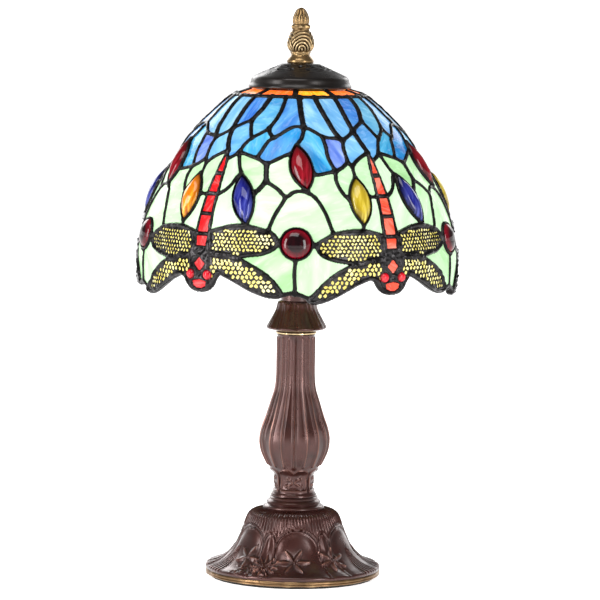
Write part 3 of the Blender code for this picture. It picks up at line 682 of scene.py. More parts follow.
def lead_lines():
    """(half width, smooth line) of every lead of one sector, with its crown line."""
    lines = []
    for width, points in LEADS:
        places = [JUNCTIONS[p] if isinstance(p, str) else p for p in points]
        lines.append((width, smooth_line(places)))
    crown = [(-HALF + step * 2, float(arc_of(CROWN_LINE))) for step in range(37)]
    lines.append((WIDE, crown))
    return lines


def window_outlines(turn):
    """The windows in a dragonfly's body, turned by some degrees."""
    return [shifted(on_shade(window), turn) for window in BODY_WINDOWS]


def eye_outlines(turn):
    return [round_outline(degrees + turn, height, EYE_RADIUS, 20) for degrees, height in EYES]


def sector_stones(grow=0.0):
    """Outlines of one sector's stones, as (degrees, arc), grown by some millimetres."""
    found = [marquise_outline(*values, grow=grow) for values in MARQUISES.values()]
    return found + [round_outline(0, CABOCHON_HEIGHT, CABOCHON_RADIUS + grow)]


# --- Distances on the shade -----------------------------------------------------------------

# The grid's cell up the shade, its cell round the shade, and the longest distance measured.
CELL = 0.36
COLUMN_DEG = 0.225
REACH = 9.0


def is_inside(place, outline):
    """True where a place, of two numbers or two arrays, lies inside a closed outline."""
    x, y = place
    found = np.zeros(np.broadcast(x, y).shape, bool)
    for (ax, ay), (bx, by) in zip(outline, outline[1:] + outline[:1]):
        if ay != by:
            crosses = (ay > y) != (by > y)
            found ^= crosses & (x < ax + (y - ay) * (bx - ax) / (by - ay))
    return found


class ShadeGrid:
    """A grid over 72 degrees of the shade that measures distances to lines drawn on it."""

    def __init__(self, first):
        self.degrees = first + np.arange(round(SECTOR_DEG / COLUMN_DEG) + 1) * COLUMN_DEG
        self.arcs = np.arange(0, ARCS[-1] + CELL / 2, CELL)
        self.mm_per_degree = np.radians(radius_at(self.arcs))[:, None]
        self.shape = (len(self.arcs), len(self.degrees))

    def window(self, start, end):
        """Slices of the grid within reach of a segment, or None if it lies outside."""
        low = min(start[1], end[1]) - REACH
        high = max(start[1], end[1]) + REACH
        spread = REACH / math.radians(max(31, float(radius_at(high))))
        left = min(start[0], end[0]) - spread
        right = max(start[0], end[0]) + spread
        rows = slice(*np.searchsorted(self.arcs, (low, high)))
        columns = slice(*np.searchsorted(self.degrees, (left, right)))
        empty = rows.start >= rows.stop or columns.start >= columns.stop
        return None if empty else (rows, columns)

    def far(self):
        return np.full(self.shape, REACH)

    def line_distance(self, line, closed=False):
        """Distance in millimetres to a line of (degrees, arc) points, up to REACH."""
        found = self.far()
        ends = line[1:] + line[:1] if closed else line[1:]
        for start, end in zip(line, ends):
            window = self.window(start, end)
            if window is None:
                continue
            rows, columns = window
            scale = self.mm_per_degree[rows]
            ax = (start[0] - self.degrees[columns])[None, :] * scale
            bx = (end[0] - self.degrees[columns])[None, :] * scale
            ay = start[1] - self.arcs[rows][:, None]
            by = end[1] - self.arcs[rows][:, None]
            dx = bx - ax
            dy = by - ay
            share = np.clip(-(ax * dx + ay * dy) / np.maximum(dx * dx + dy * dy, 1e-9), 0, 1)
            distance = np.hypot(ax + share * dx, ay + share * dy)
            found[rows, columns] = np.minimum(found[rows, columns], distance)
        return found

    def signed_distance(self, outline):
        """Distance to a closed outline, negative inside it."""
        distance = self.line_distance(outline, closed=True)
        inside = is_inside((self.degrees[None, :], self.arcs[:, None]), outline)
        return np.where(inside, -distance, distance)

    def read(self, field, degrees, arc):
        """A field's value at the grid point nearest to a place."""
        column = round((degrees - self.degrees[0]) / COLUMN_DEG)
        row = round(arc / CELL)
        if 0 <= column < self.shape[1] and 0 <= row < self.shape[0]:
            return field[row, column]
        return REACH


def smooth_min(fields, blend):
    """The least of several fields, rounded where they meet, as solder pools in a corner."""
    total = sum(np.exp(-field / blend) for field in fields)
    return -blend * np.log(total)


def smooth_step(value, low, high):
    t = np.clip((value - low) / (high - low), 0, 1)
    return t * t * (3 - 2 * t)


def dragonfly_outline():
    """The dragonfly's outline as (degrees, arc), with its long edges curved."""
    runs = []
    start = 0
    closed = DRAGONFLY + DRAGONFLY[:1]
    for i in range(1, len(closed)):
        if i in DRAGONFLY_CORNERS or i == len(closed) - 1:
            runs += smooth_line(closed[start : i + 1], 1.2)[:-1]
            start = i
    return runs


def pierced_holes(grid, wing_depth, divider):
    """(degrees, arc, long and short radius, turn) of the filigree's holes, for a fly at 36 degrees."""
    rng = random.Random(SEED)
    mm_per_degree = math.radians(WINGS_RADIUS)
    holes = []
    for low, high, spacing, long, short in FILIGREE:
        for row in range(math.ceil((arc_of(high) - arc_of(low)) / spacing / HOLE_ROWS)):
            for column in range(-26, 27):
                across = (column + 0.5 * (row % 2)) * spacing + rng.uniform(-0.25, 0.25)
                arc = float(arc_of(low)) + row * spacing * HOLE_ROWS + rng.uniform(-0.25, 0.25)
                degrees = HALF + across / mm_per_degree
                size = [radius * rng.uniform(0.88, 1.1) for radius in (long, short)]
                turn = rng.uniform(0, math.pi)
                clear = grid.read(wing_depth, degrees, arc) < -WING_BORDER
                clear = clear and grid.read(divider, degrees, arc) > DIVIDER_HALF
                if clear and abs(degrees - HALF) > BODY_HALF:
                    holes.append((degrees, arc, *size, turn))
    return holes


def hole_field(grid, holes):
    """Distance to the nearest pierced hole's edge, negative inside a hole."""
    found = grid.far()
    for degrees, arc, long, short, turn in holes:
        window = grid.window((degrees, arc), (degrees, arc))
        if window is None:
            continue
        rows, columns = window
        x = (grid.degrees[columns] - degrees)[None, :] * grid.mm_per_degree[rows]
        y = (grid.arcs[rows] - arc)[:, None]
        along = x * math.cos(turn) + y * math.sin(turn)
        across = y * math.cos(turn) - x * math.sin(turn)
        distance = (np.hypot(along / long, across / short) - 1) * short
        found[rows, columns] = np.minimum(found[rows, columns], distance)
    return found


def gauss(distance, width):
    return np.exp(-((distance / width) ** 2))


def dome(value):
    """A quarter round: 0 at 0, level from 1 on."""
    return np.sqrt(1 - (1 - np.clip(value, 0, 1)) ** 2)


def divider_distance(grid, turns):
    """Distance to the bars that part each dragonfly's wings."""
    lines = [shifted(on_shade(line), turn) for turn in turns for line in WING_DIVIDERS]
    return np.min([grid.line_distance(line) for line in lines], axis=0)


def pierced_field(grid, turns):
    """Distance to the nearest hole's edge in dragonflies at some degrees."""
    home = ShadeGrid(0)
    home_fly = home.signed_distance(shifted(dragonfly_outline(), HALF))
    holes = pierced_holes(home, home_fly, divider_distance(home, [HALF]))
    fields = []
    for turn in turns:
        fields.append(hole_field(grid, [(hole[0] + turn - HALF, *hole[1:]) for hole in holes]))
    return np.min(fields, axis=0)


def shade_metal(first):
    """The grid from one degree on, distance to the metal's edge, its rise, distance to the
    dragonflies' outlines, and how far each place is part of a wing's pierced plate."""
    grid = ShadeGrid(first)
    copies = [-SECTOR_DEG, 0, SECTOR_DEG]
    strips = []
    for width, line in lead_lines():
        distance = np.min([grid.line_distance(shifted(line, turn)) for turn in copies], axis=0)
        strips.append(distance - width)
    outline = dragonfly_outline()
    turns = [-HALF, HALF, HALF + SECTOR_DEG]
    fly = np.min([grid.signed_distance(shifted(outline, turn)) for turn in turns], axis=0)
    stones = grid.far()
    for turn in copies:
        for stone in sector_stones():
            stones = np.minimum(stones, grid.signed_distance(shifted(stone, turn)))
    windows = grid.far()
    for turn in turns:
        for window in window_outlines(turn) + eye_outlines(turn):
            windows = np.minimum(windows, grid.signed_distance(window))
    rims = np.abs(stones - STONE_RIM / 2) - STONE_RIM / 2 - 0.15
    edge = smooth_min(strips + [fly - LAP, rims], SOLDER_BLEND)
    edge = np.maximum(edge, -np.minimum(stones, windows + LAP))
    edge = np.maximum(edge, -pierced_field(grid, turns))
    middle = np.min([np.abs(grid.degrees - turn) for turn in turns], axis=0)[None, :]
    plate = smooth_step(-fly, WING_BORDER - 1.3, WING_BORDER - 0.2)
    plate = plate * smooth_step(divider_distance(grid, turns), DIVIDER_HALF - 1, DIVIDER_HALF)
    plate = plate * smooth_step(middle, BODY_HALF - 1.2, BODY_HALF - 0.3)
    rise = LEAD_RISE + FLY_RISE * smooth_step(-fly, 0, 1.2) + RIM_RISE * smooth_step(-rims, -1.5, 0.3)
    rise = rise * (1 - plate) + PLATE_RISE * plate
    return grid, edge, rise, fly, plate


def grid_solid(mask, top, bottom):
    """Verts, faces and kept indices of a closed solid over the masked cells of two grids of places."""
    rows, columns = mask.shape
    count = (rows + 1) * (columns + 1)
    index = np.arange(count).reshape(rows + 1, columns + 1)
    corner = {"sw": index[:-1, :-1], "se": index[:-1, 1:], "ne": index[1:, 1:], "nw": index[1:, :-1]}
    upper = np.stack([corner[c][mask] for c in ("sw", "se", "ne", "nw")], -1)
    lower = upper[:, ::-1] + count
    padded = np.pad(mask, 1)
    open_sides = {
        ("sw", "se"): ~padded[:-2, 1:-1],
        ("se", "ne"): ~padded[1:-1, 2:],
        ("ne", "nw"): ~padded[2:, 1:-1],
        ("nw", "sw"): ~padded[1:-1, :-2],
    }
    walls = []
    for (start, end), is_open in open_sides.items():
        chosen = mask & is_open
        a = corner[start][chosen]
        b = corner[end][chosen]
        walls.append(np.stack([b, a, a + count, b + count], -1))
    faces = np.concatenate([upper, lower, *walls])
    used, compact = np.unique(faces, return_inverse=True)
    places = np.concatenate([top.reshape(-1, 3), bottom.reshape(-1, 3)])[used]
    return places, compact.reshape(-1, 4), used % count


def snapped(grid, edge):
    """The grid's degrees and arcs, with points beside the metal's edge moved onto it."""
    by_arc, by_degree = np.gradient(edge, CELL, COLUMN_DEG)
    by_mm = by_degree / grid.mm_per_degree
    steep = np.maximum(by_arc**2 + by_mm**2, 0.15)
    near = np.abs(edge) < 0.75 * CELL
    move = np.where(near, edge / steep, 0)
    limit = 0.6 * CELL
    degrees = grid.degrees[None, :] - np.clip(move * by_mm, -limit, limit) / grid.mm_per_degree
    arcs = grid.arcs[:, None] - np.clip(move * by_arc, -limit, limit)
    return degrees, np.clip(arcs, 0, ARCS[-1])


def metal_pieces(first, is_fly, name, mat, nodes):
    """One closed solder piece for each sector, for the dragonflies or for the leads between them."""
    grid, edge, rise, fly, plate = shade_metal(first)
    depth = np.maximum(-edge, 0)
    bevel = np.where(plate > 0.5, PLATE_BEVEL, LEAD_BEVEL)
    round_off = 0.1 + 0.9 * dome(depth / bevel)
    cells = (edge[:-1, :-1] + edge[1:, :-1] + edge[:-1, 1:] + edge[1:, 1:]) / 4
    cell_fly = (fly[:-1, :-1] + fly[1:, 1:]) / 2
    mask = (cells < 0) & ((cell_fly < 0) == is_fly)
    degrees, arcs = snapped(grid, edge)
    half = GLASS_OUT - GLASS_MIDDLE
    rough = 0.12 + 0.2 * smooth_step(-fly, 0, 1.5) * (1 - plate) - 0.05 * plate
    for sector in range(SECTORS):
        turned = degrees + sector * SECTOR_DEG
        middle = shade_places(turned, arcs, GLASS_MIDDLE).reshape(-1, 3) / MM
        bumps = lumps(middle, 3.2, SEED) + 0.5 * lumps(middle, 1.3, SEED + 1)
        bumps = bumps.reshape(grid.shape)
        outside = GLASS_MIDDLE + (half + rise + rough * bumps) * round_off
        inside = GLASS_MIDDLE - (half + BACK_RISE + 0.2 * bumps) * round_off
        top = shade_places(turned, arcs, outside)
        bottom = shade_places(turned, arcs, inside)
        verts, faces, _ = grid_solid(mask, top, bottom)
        number = sector + 1
        replaced = [node.format(number) for node in nodes]
        add_piece(f"{name}_{number}", verts, faces, mat, "shade", nodes=replaced)


# --- Panes of glass -------------------------------------------------------------------------

# The panes are cut from a flat sheet: its millimetres to a degree, the spacing of its inner
# points, and how many degrees it reaches to either side. Streaks run longer along the grain than
# across it, and the bulb lights the panes within GLOW_REACH of its height the most.
SHEET_MM = 1.5
SHEET_STEP = 4.5
DOMAIN = 78
STREAKS_ALONG = 0.035
STREAKS_ACROSS = 0.11
GLOW_AWAY = 0.6
GLOW_REACH = 26.0


def sheet_constraints():
    """Every line that cuts the glass, as point lists in the flat sheet's millimetres."""
    lines = []
    outline = dragonfly_outline()
    for turn in (-SECTOR_DEG, 0, SECTOR_DEG):
        lines += [shifted(line, turn) for _, line in lead_lines()]
        lines += [shifted(stone + stone[:1], turn) for stone in sector_stones(STONE_RIM / 2)]
    for turn in (-HALF - SECTOR_DEG, -HALF, HALF, HALF + SECTOR_DEG):
        lines.append(shifted(outline + outline[:1], turn))
        for window in window_outlines(turn) + eye_outlines(turn):
            lines.append(window + window[:1])
    low, high = 0.0, float(ARCS[-1])
    lines.append([(-DOMAIN, low), (DOMAIN, low), (DOMAIN, high), (-DOMAIN, high), (-DOMAIN, low)])
    return [[(x * SHEET_MM, y) for x, y in line if abs(x) <= DOMAIN] for line in lines]


def cut_sheet():
    """Triangulates the sheet and returns its points and the triangles of each pane."""
    lines = [line for line in sheet_constraints() if len(line) > 1]
    points = []
    edges = []
    for line in lines:
        start = len(points)
        points += line
        edges += [(start + i, start + i + 1) for i in range(len(line) - 1)]
    corners = np.array(points)
    for x in np.arange(-DOMAIN * SHEET_MM + 2, DOMAIN * SHEET_MM, SHEET_STEP):
        for y in np.arange(2, ARCS[-1], SHEET_STEP):
            if np.min(np.hypot(corners[:, 0] - x, corners[:, 1] - y)) > SHEET_STEP * 0.4:
                points.append((float(x), float(y)))
    found = delaunay_2d_cdt([Vector(p) for p in points], edges, [], 0, 1e-5)
    places = np.array([tuple(p) for p in found[0]])
    cuts = {tuple(sorted(edge)) for edge, source in zip(found[1], found[4]) if source}
    by_edge = {}
    for number, face in enumerate(found[2]):
        for a, b in zip(face, face[1:] + face[:1]):
            by_edge.setdefault(tuple(sorted((a, b))), []).append(number)
    neighbours = [[] for _ in found[2]]
    for edge, sides in by_edge.items():
        if edge not in cuts and len(sides) == 2:
            neighbours[sides[0]].append(sides[1])
            neighbours[sides[1]].append(sides[0])
    return places, [[found[2][i] for i in group] for group in connected(neighbours)]


def connected(neighbours):
    """Groups of linked numbers."""
    seen = set()
    groups = []
    for first in range(len(neighbours)):
        if first in seen:
            continue
        seen.add(first)
        group = [first]
        for current in group:
            for other in neighbours[current]:
                if other not in seen:
                    seen.add(other)
                    group.append(other)
        groups.append(group)
    return groups


def pane_facts(places, triangles):
    """Area and middle of a pane as (square millimetres, degrees, arc), and a point surely inside it."""
    corners = places[np.array(triangles)]
    first = corners[:, 1] - corners[:, 0]
    second = corners[:, 2] - corners[:, 0]
    areas = np.abs(first[:, 0] * second[:, 1] - first[:, 1] * second[:, 0]) / 2
    middles = corners.mean(1)
    middle = (middles * areas[:, None]).sum(0) / areas.sum()
    sure = middles[np.argmax(areas)]
    return areas.sum(), (middle[0] / SHEET_MM, middle[1]), (sure[0] / SHEET_MM, sure[1])


def thick_sheet(places, triangles, outer, inner):
    """A closed sheet between two offsets: verts, faces, and its flat points twice over."""
    used, compact = np.unique(np.array(triangles), return_inverse=True)
    compact = compact.reshape(-1, 3)
    flat = places[used]
    corners = flat[compact]
    side_a = corners[:, 1] - corners[:, 0]
    side_b = corners[:, 2] - corners[:, 0]
    turned = side_a[:, 0] * side_b[:, 1] - side_a[:, 1] * side_b[:, 0] < 0
    compact[turned] = compact[turned][:, ::-1]
    count = len(flat)
    degrees = flat[:, 0] / SHEET_MM
    verts = np.concatenate([shade_places(degrees, flat[:, 1], offset) for offset in (outer, inner)])
    faces = [tuple(face) for face in compact.tolist()]
    directed = {(a, b) for face in faces for a, b in zip(face, face[1:] + face[:1])}
    walls = [(b, a, a + count, b + count) for a, b in sorted(directed) if (b, a) not in directed]
    backs = [tuple(i + count for i in reversed(face)) for face in faces]
    return verts, faces + backs + walls, np.concatenate([flat, flat])


def glass_values(flat, rng):
    """Where each vertex reads its streaks, and how much of the bulb's light reaches it."""
    turn = rng.uniform(0, math.pi)
    away = rng.uniform(0, 50)
    along = flat[:, 0] * math.cos(turn) + flat[:, 1] * math.sin(turn)
    across = flat[:, 1] * math.cos(turn) - flat[:, 0] * math.sin(turn)
    third = np.full(len(flat), away * 1.7)
    place = np.stack([along * STREAKS_ALONG + away, across * STREAKS_ACROSS, third], -1)
    height = np.interp(flat[:, 1], ARCS, HEIGHTS)
    glow = GLOW_AWAY + (1 - GLOW_AWAY) * gauss(height - BULB_CENTRE, GLOW_REACH)
    return {"glass_place": place, "bulb_glow": np.repeat(glow[:, None], 3, 1)}


def classify(middle, sure, outline, stones):
    """What a pane is: a tint's name, orange, wing, body, or nothing in a stone's socket."""
    height = float(np.interp(middle[1], ARCS, HEIGHTS))
    sockets = [shifted(stone, turn) for stone in stones for turn in (-SECTOR_DEG, 0, SECTOR_DEG)]
    if any(is_inside(sure, socket) for socket in sockets):
        return None
    for turn in (-HALF, HALF):
        if is_inside(sure, shifted(outline, turn)):
            if any(is_inside(sure, eye) for eye in eye_outlines(turn)):
                return None
            return "body" if any(is_inside(sure, window) for window in window_outlines(turn)) else "wing"
    if height > CROWN_LINE:
        return "orange"
    nearest = min(PANE_TINTS, key=lambda tint: math.hypot(tint[0] - middle[0], tint[1] - height))
    return nearest[2]


def glass_panes(materials):
    """Every pane of the shade: one closed sheet each, with its own streaks."""
    places, panes = cut_sheet()
    outline = dragonfly_outline()
    stones = sector_stones(STONE_RIM / 2)
    rng = random.Random(SEED)
    counts = {}
    low = 1e-3
    side = DOMAIN * SHEET_MM - 1e-3
    for triangles in panes:
        area, middle, sure = pane_facts(places, triangles)
        flat = places[np.unique(np.array(triangles))]
        if flat[:, 1].min() < low or np.abs(flat[:, 0]).max() > side or area < 3:
            continue
        kind = classify(middle, sure, outline, stones)
        of_fly = kind in ("wing", "body")
        in_first = middle[0] >= 0 if of_fly else -HALF <= middle[0] < HALF
        if kind is None or not in_first:
            continue
        counts[kind] = counts.get(kind, 0) + 1
        add_pane(materials, places, triangles, kind, counts[kind], rng)


def in_sector(verts, sector):
    """Places in the first sector turned to the same places in another."""
    return verts @ np.array(Matrix.Rotation(math.radians(sector * SECTOR_DEG), 3, "Z")).T


def add_pane(materials, places, triangles, kind, number, rng):
    """One pane in every sector."""
    outer, inner = (GLASS_OUT + 0.35, GLASS_IN) if kind == "body" else (GLASS_OUT, GLASS_IN)
    verts, faces, flat = thick_sheet(places, triangles, outer, inner)
    for sector in range(SECTORS):
        tint = kind
        nodes = []
        if kind == "orange":
            tint = "yellow_orange" if (sector, number) in YELLOW_PANES else "deep_orange"
            nodes = ["orange_band"] if sector == 0 and number == 1 else []
        elif kind == "wing":
            tint = "wing_glass"
        elif kind == "body":
            # Painted light: some sectors' bodies take the lighter, coral copy of the red glass.
            tint = "coral_glass" if sector in PAINTED_LIT_RED_SECTORS else "red_glass"
        elif number == 1 and kind in ("deep_blue", "white_mint"):
            nodes = [f"{'blue' if kind == 'deep_blue' else 'green'}_glass_{sector + 1}"]
        elif number == 1 and kind == "green":
            nodes = [f"lower_green_glass_{sector + 1}"]
        name = f"{kind}_pane_{number}_{sector + 1}"
        values = glass_values(flat, rng)
        add_piece(name, in_sector(verts, sector), faces, materials[tint], "shade", values, nodes)


# --- Stones ---------------------------------------------------------------------------------


def stone_mesh(outline, rise, ribs):
    """A domed stone with a flatter dome behind: verts, faces and its material's values."""
    middle = np.mean(outline, axis=0)
    outline = np.array(outline)
    mm_per_degree = math.radians(float(radius_at(middle[1])))
    flat = (outline - middle) * (mm_per_degree, 1)
    half_width = np.abs(flat[:, 0]).max()
    half_length = np.abs(flat[:, 1]).max()
    seat = GLASS_OUT + STONE_SEAT
    shares = [math.sin(math.radians(a)) for a in range(90, 0, -9)]
    rings = []
    values = []
    for share, is_front in [(s, True) for s in shares] + [(s, False) for s in reversed(shares)]:
        points = middle + (outline - middle) * share
        lift = math.sqrt(max(0, 1 - share**2))
        x = flat[:, 0] * share / half_width
        y = flat[:, 1] * share / half_length
        offset = np.full(len(points), GLASS_IN - STONE_BACK * lift)
        if is_front:
            offset = seat + rise * lift + ribs * np.cos(x * math.pi * 2.5) * lift
        rings.append(shade_places(points[:, 0], points[:, 1], offset))
        values.append(np.stack([x, y, np.full(len(points), share)], -1))
    tips = [shade_places(*middle, offset) for offset in (seat + rise + ribs, GLASS_IN - STONE_BACK)]
    verts = np.concatenate(rings + [np.array(tips)])
    count = len(outline)
    front = len(shares)
    faces = []
    order = list(range(front - 1, -1, -1)) + list(range(2 * front - 1, front - 1, -1))
    top_tip = 2 * front * count
    for i in range(count):
        j = (i + 1) % count
        for high, low in zip(order, order[1:]):
            faces.append((high * count + i, low * count + i, low * count + j, high * count + j))
        faces.append((top_tip, (front - 1) * count + i, (front - 1) * count + j))
        faces.append((top_tip + 1, front * count + j, front * count + i))
    places = np.concatenate(values + [np.zeros((2, 3))])
    streaks = places * (half_width * 0.5, half_length * 0.07, 0)
    return verts, faces, {"stone_place": places, "stone_streaks": streaks}


def add_stones(name, outline, rise, ribs, mats, node=None):
    """One stone in every sector, with the given materials in turn."""
    verts, faces, values = stone_mesh(outline, rise, ribs)
    for sector in range(SECTORS):
        mat = mats[sector % len(mats)]
        nodes = [f"{node}_{sector + 1}"] if node else []
        places = in_sector(verts, sector)
        add_piece(f"{name}_{sector + 1}", places, faces, mat, "shade", values, nodes)


def shade_stones(materials):
    """The stones in every sector. Two of the amber stones are of a greener yellow."""
    for name, values in MARQUISES.items():
        colour = name.split("_")[0]
        mats = [materials[f"{colour}_stone"]]
        if colour == "amber":
            mats = [materials["yellow_stone"]] * 2 + mats * 3
        outline = marquise_outline(*values)
        add_stones(f"{name}_stone", outline, MARQUISE_RISE, 0.12, mats, name)
    outline = round_outline(0, CABOCHON_HEIGHT, CABOCHON_RADIUS, 56)
    mats = [materials["cabochon_stone"]]
    add_stones("cabochon_stone", outline, CABOCHON_RISE, 0.0, mats, "cabochon")
    for side, (degrees, height) in zip(("right", "left"), EYES):
        outline = round_outline(degrees + HALF, height, EYE_RADIUS, 32)
        add_stones(f"{side}_eye", outline, EYE_RISE, 0.0, [materials["eye_stone"]])


# --- Turned and cast pieces -----------------------------------------------------------------


def section_rows(runs, step):
    """Rows of a section made of smooth runs of (radius, height) points, as arrays."""
    rows = []
    for run in runs:
        line = spline(run, step)
        rows += line[1:] if rows else line
    return np.array(rows)


def softened(field, reach):
    """A field round an axis, averaged over a few rows and columns."""
    padded = np.pad(field, ((reach, reach), (0, 0)), mode="edge")
    rows = sum(padded[i : i + len(field)] for i in range(2 * reach + 1)) / (2 * reach + 1)
    return sum(np.roll(rows, i, 1) for i in range(-2 * reach, 2 * reach + 1)) / (4 * reach + 1)


def cast(name, runs, inner, mat, body, nodes, relief=None, steps=128, step=0.8, wear_and_highlight=1.0):
    """Turns a section about Z. The runs are its outside, which the relief raises; inner closes it.

    relief takes degrees, heights, radii and arcs, and returns millimetres out along the normal.
    What stands out from its surroundings is coloured lighter, partly as rubbed wear and partly as a painted
    highlight, and what lies lower stays dark.
    """
    outside = section_rows(runs, step)
    rows = np.concatenate([outside, np.array(inner, float).reshape(-1, 2)])
    along = np.gradient(outside, axis=0)
    normal = np.stack([along[:, 1], -along[:, 0]], -1)
    normal /= np.maximum(np.linalg.norm(normal, axis=1), 1e-9)[:, None]
    arcs = np.concatenate([[0], np.cumsum(np.linalg.norm(np.diff(outside, axis=0), axis=1))])
    degrees = np.arange(steps) * 360 / steps
    lift = np.zeros((len(outside), steps))
    if relief:
        lift = relief(degrees[None, :], outside[:, 1:], outside[:, :1], arcs[:, None])
    radius = np.repeat(rows[:, :1], steps, 1)
    height = np.repeat(rows[:, 1:], steps, 1)
    radius[: len(outside)] += lift * normal[:, :1]
    height[: len(outside)] += lift * normal[:, 1:]
    angle = np.radians(degrees)[None, :]
    places = np.stack([radius * np.sin(angle), -radius * np.cos(angle), height], -1) * MM
    # The relief attribute: lighter where the surface stands out, partly wear and partly a painted highlight,
    # and darker where it lies lower.
    rubbed_and_highlit = np.full(radius.shape, 0.5)
    rubbed_and_highlit[: len(outside)] = np.clip(0.5 + (lift - softened(lift, 3)) * wear_and_highlight, 0, 1)
    verts, faces, kept = wrap_rows(places)
    return add_piece(name, verts, faces, mat, body, {"relief": rubbed_and_highlit.reshape(-1)[kept]}, nodes)


def wrap_rows(places):
    """Faces round a stack of rings. A ring on the axis becomes one vertex, and otherwise it closes."""
    rows, steps, _ = places.shape
    on_axis = np.hypot(places[:, 0, 0], places[:, 0, 1]) < 1e-6
    index = np.arange(rows * steps).reshape(rows, steps)
    index[on_axis] = index[on_axis][:, :1]
    pairs = [(i, i + 1) for i in range(rows - 1)]
    if not on_axis[0]:
        pairs.append((rows - 1, 0))
    faces = []
    for low, high in pairs:
        a, b = index[low], index[high]
        for i in range(steps):
            j = (i + 1) % steps
            corners = list(dict.fromkeys((int(a[i]), int(a[j]), int(b[j]), int(b[i]))))
            if len(corners) > 2:
                faces.append(corners)
    used, compact = np.unique(np.concatenate([np.array(f) for f in faces]), return_inverse=True)
    sizes = np.cumsum([len(f) for f in faces])[:-1]
    return places.reshape(-1, 3)[used], [f.tolist() for f in np.split(compact, sizes)], used


def from_middle(degrees, middle):
    """Degrees from a middle, between -180 and 180."""
    return (degrees - middle + 180) % 360 - 180


def leaf(x, y, turn, start, length, width):
    """A keeled leaf's height, from 0 to 1, that points from a centre at a turn from upwards."""
    along = x * math.sin(turn) + y * math.cos(turn) - start
    across = x * math.cos(turn) - y * math.sin(turn)
    share = np.clip(along / length, 0.001, 0.999)
    half = width * np.sin(np.pi * share**0.8) ** 0.8 + 0.02
    inside = (along > 0) & (along < length)
    return np.where(inside, np.clip(1 - np.abs(across) / half, 0, 1) ** 0.7, 0)


def flower(x, y, petals, length, width, turn=0.0):
    """A flower with keeled petals and a pierced bead in its middle, in millimetres of relief."""
    height = np.zeros(np.broadcast(x, y).shape)
    for petal in range(petals):
        height = np.maximum(height, leaf(x, y, turn + math.tau * petal / petals, 0.9, length, width))
    distance = np.hypot(x, y)
    bead = gauss(distance, 1.3) * 1.2 - gauss(distance, 0.45) * 0.7
    return np.maximum(height * 0.95, bead)


# The foot's relief: degrees from the front, and for flowers also millimetres up from the rim,
# petals, their length and width, and a turn. Flowers, fans and spray are repeated at the back.
FOOT_PETALS = 6
FOOT_FLOWERS = [
    (1.5, 17.5, 6, 10.0, 2.0, 0.5), (38, 18.5, 6, 9.0, 2.1, 0.2), (-44, 19.5, 5, 8.6, 2.1, 0.4),
    (-23, 12.5, 12, 9.4, 1.15, 0.0),
]
FOOT_FANS = [66, 90, -66]
FOOT_SPRAY = -29
SPRAY_LEAVES = 34


def foot_relief(degrees, height, radius, arc):
    """The foot's relief: a ribbed fringe, a ring of petals, flowers, and fans."""
    mm_per_degree = np.radians(radius)
    angle = np.radians(degrees)
    edge = np.full(np.broadcast(degrees, arc).shape, REACH)
    for petal in range(FOOT_PETALS):
        middle = 5 + petal * 360 / FOOT_PETALS
        for turn, reach, top in ((0, 24, 40.5), (30, 9, 38)):
            aside = from_middle(degrees, middle + turn)
            edge = np.minimum(edge, petal_distance(aside, arc, mm_per_degree, reach, top))
    lift = 0.55 * gauss(edge, 0.4) - 0.5 * gauss(edge + 0.9, 0.4) + 0.35 * gauss(edge + 1.7, 0.4)
    lift += 0.8 * smooth_step(-edge, 0, 7)
    ribs = 1 - np.abs(np.sin(angle * 46 + 0.5 * np.sin(angle * 3)))
    fringe = smooth_step(edge, 0.8, 2.2) * smooth_step(arc, 35, 39) * (1 - smooth_step(arc, 55, 58))
    lift += 0.55 * (ribs**1.2 - 0.35) * fringe
    for half_turn in (0, 180):
        for middle in FOOT_FANS:
            lift += fan_relief(from_middle(degrees, middle + half_turn) * mm_per_degree, arc)
        lift += spray(degrees, half_turn + FOOT_SPRAY, mm_per_degree, arc)
        for middle, place, petals, length, width, turn in FOOT_FLOWERS:
            x = from_middle(degrees, middle + half_turn) * mm_per_degree
            lift += 1.5 * flower(x, arc - place, petals, length, width, turn)
    fade = smooth_step(arc, 0.8, 2.2) * (1 - smooth_step(arc, 59, 60))
    return lift * fade


def spray(degrees, middle, mm_per_degree, arc):
    """A heap of small leaves low on the foot."""
    rng = random.Random(SEED)
    height = np.zeros(np.broadcast(degrees, arc).shape)
    for _ in range(SPRAY_LEAVES):
        x = from_middle(degrees, middle + rng.uniform(-16, 14)) * mm_per_degree
        y = arc - rng.uniform(3, 11.5)
        one = leaf(x, y, rng.uniform(-2.4, 2.4), 0, rng.uniform(3, 5.5), 1.0)
        height = np.maximum(height, rng.uniform(0.6, 1.1) * one)
    return height


def petal_distance(aside, arc, mm_per_degree, reach, top):
    """Distance to a round-topped petal's edge, negative inside it. reach is its half width in degrees."""
    shoulder = top - 12
    above = np.clip((arc - shoulder) / (top - shoulder), 0, 1.6)
    across = aside / reach
    size = np.hypot(above, across)
    slope = np.hypot(above / (top - shoulder), across / (reach * mm_per_degree)) / np.maximum(size, 1e-6)
    return (size - 1) / np.maximum(slope, 1e-6)


def fan_relief(x, arc):
    """Ribs that spread from a point down to the rim."""
    down = np.clip(27 - arc, 0, None)
    spread = x / (1.6 + 0.36 * down)
    inside = smooth_step(down, 0, 3) * (1 - smooth_step(np.abs(spread), 0.85, 1.0))
    return 0.75 * inside * (np.abs(np.cos(spread * math.pi * 3)) ** 0.7 - 0.4)


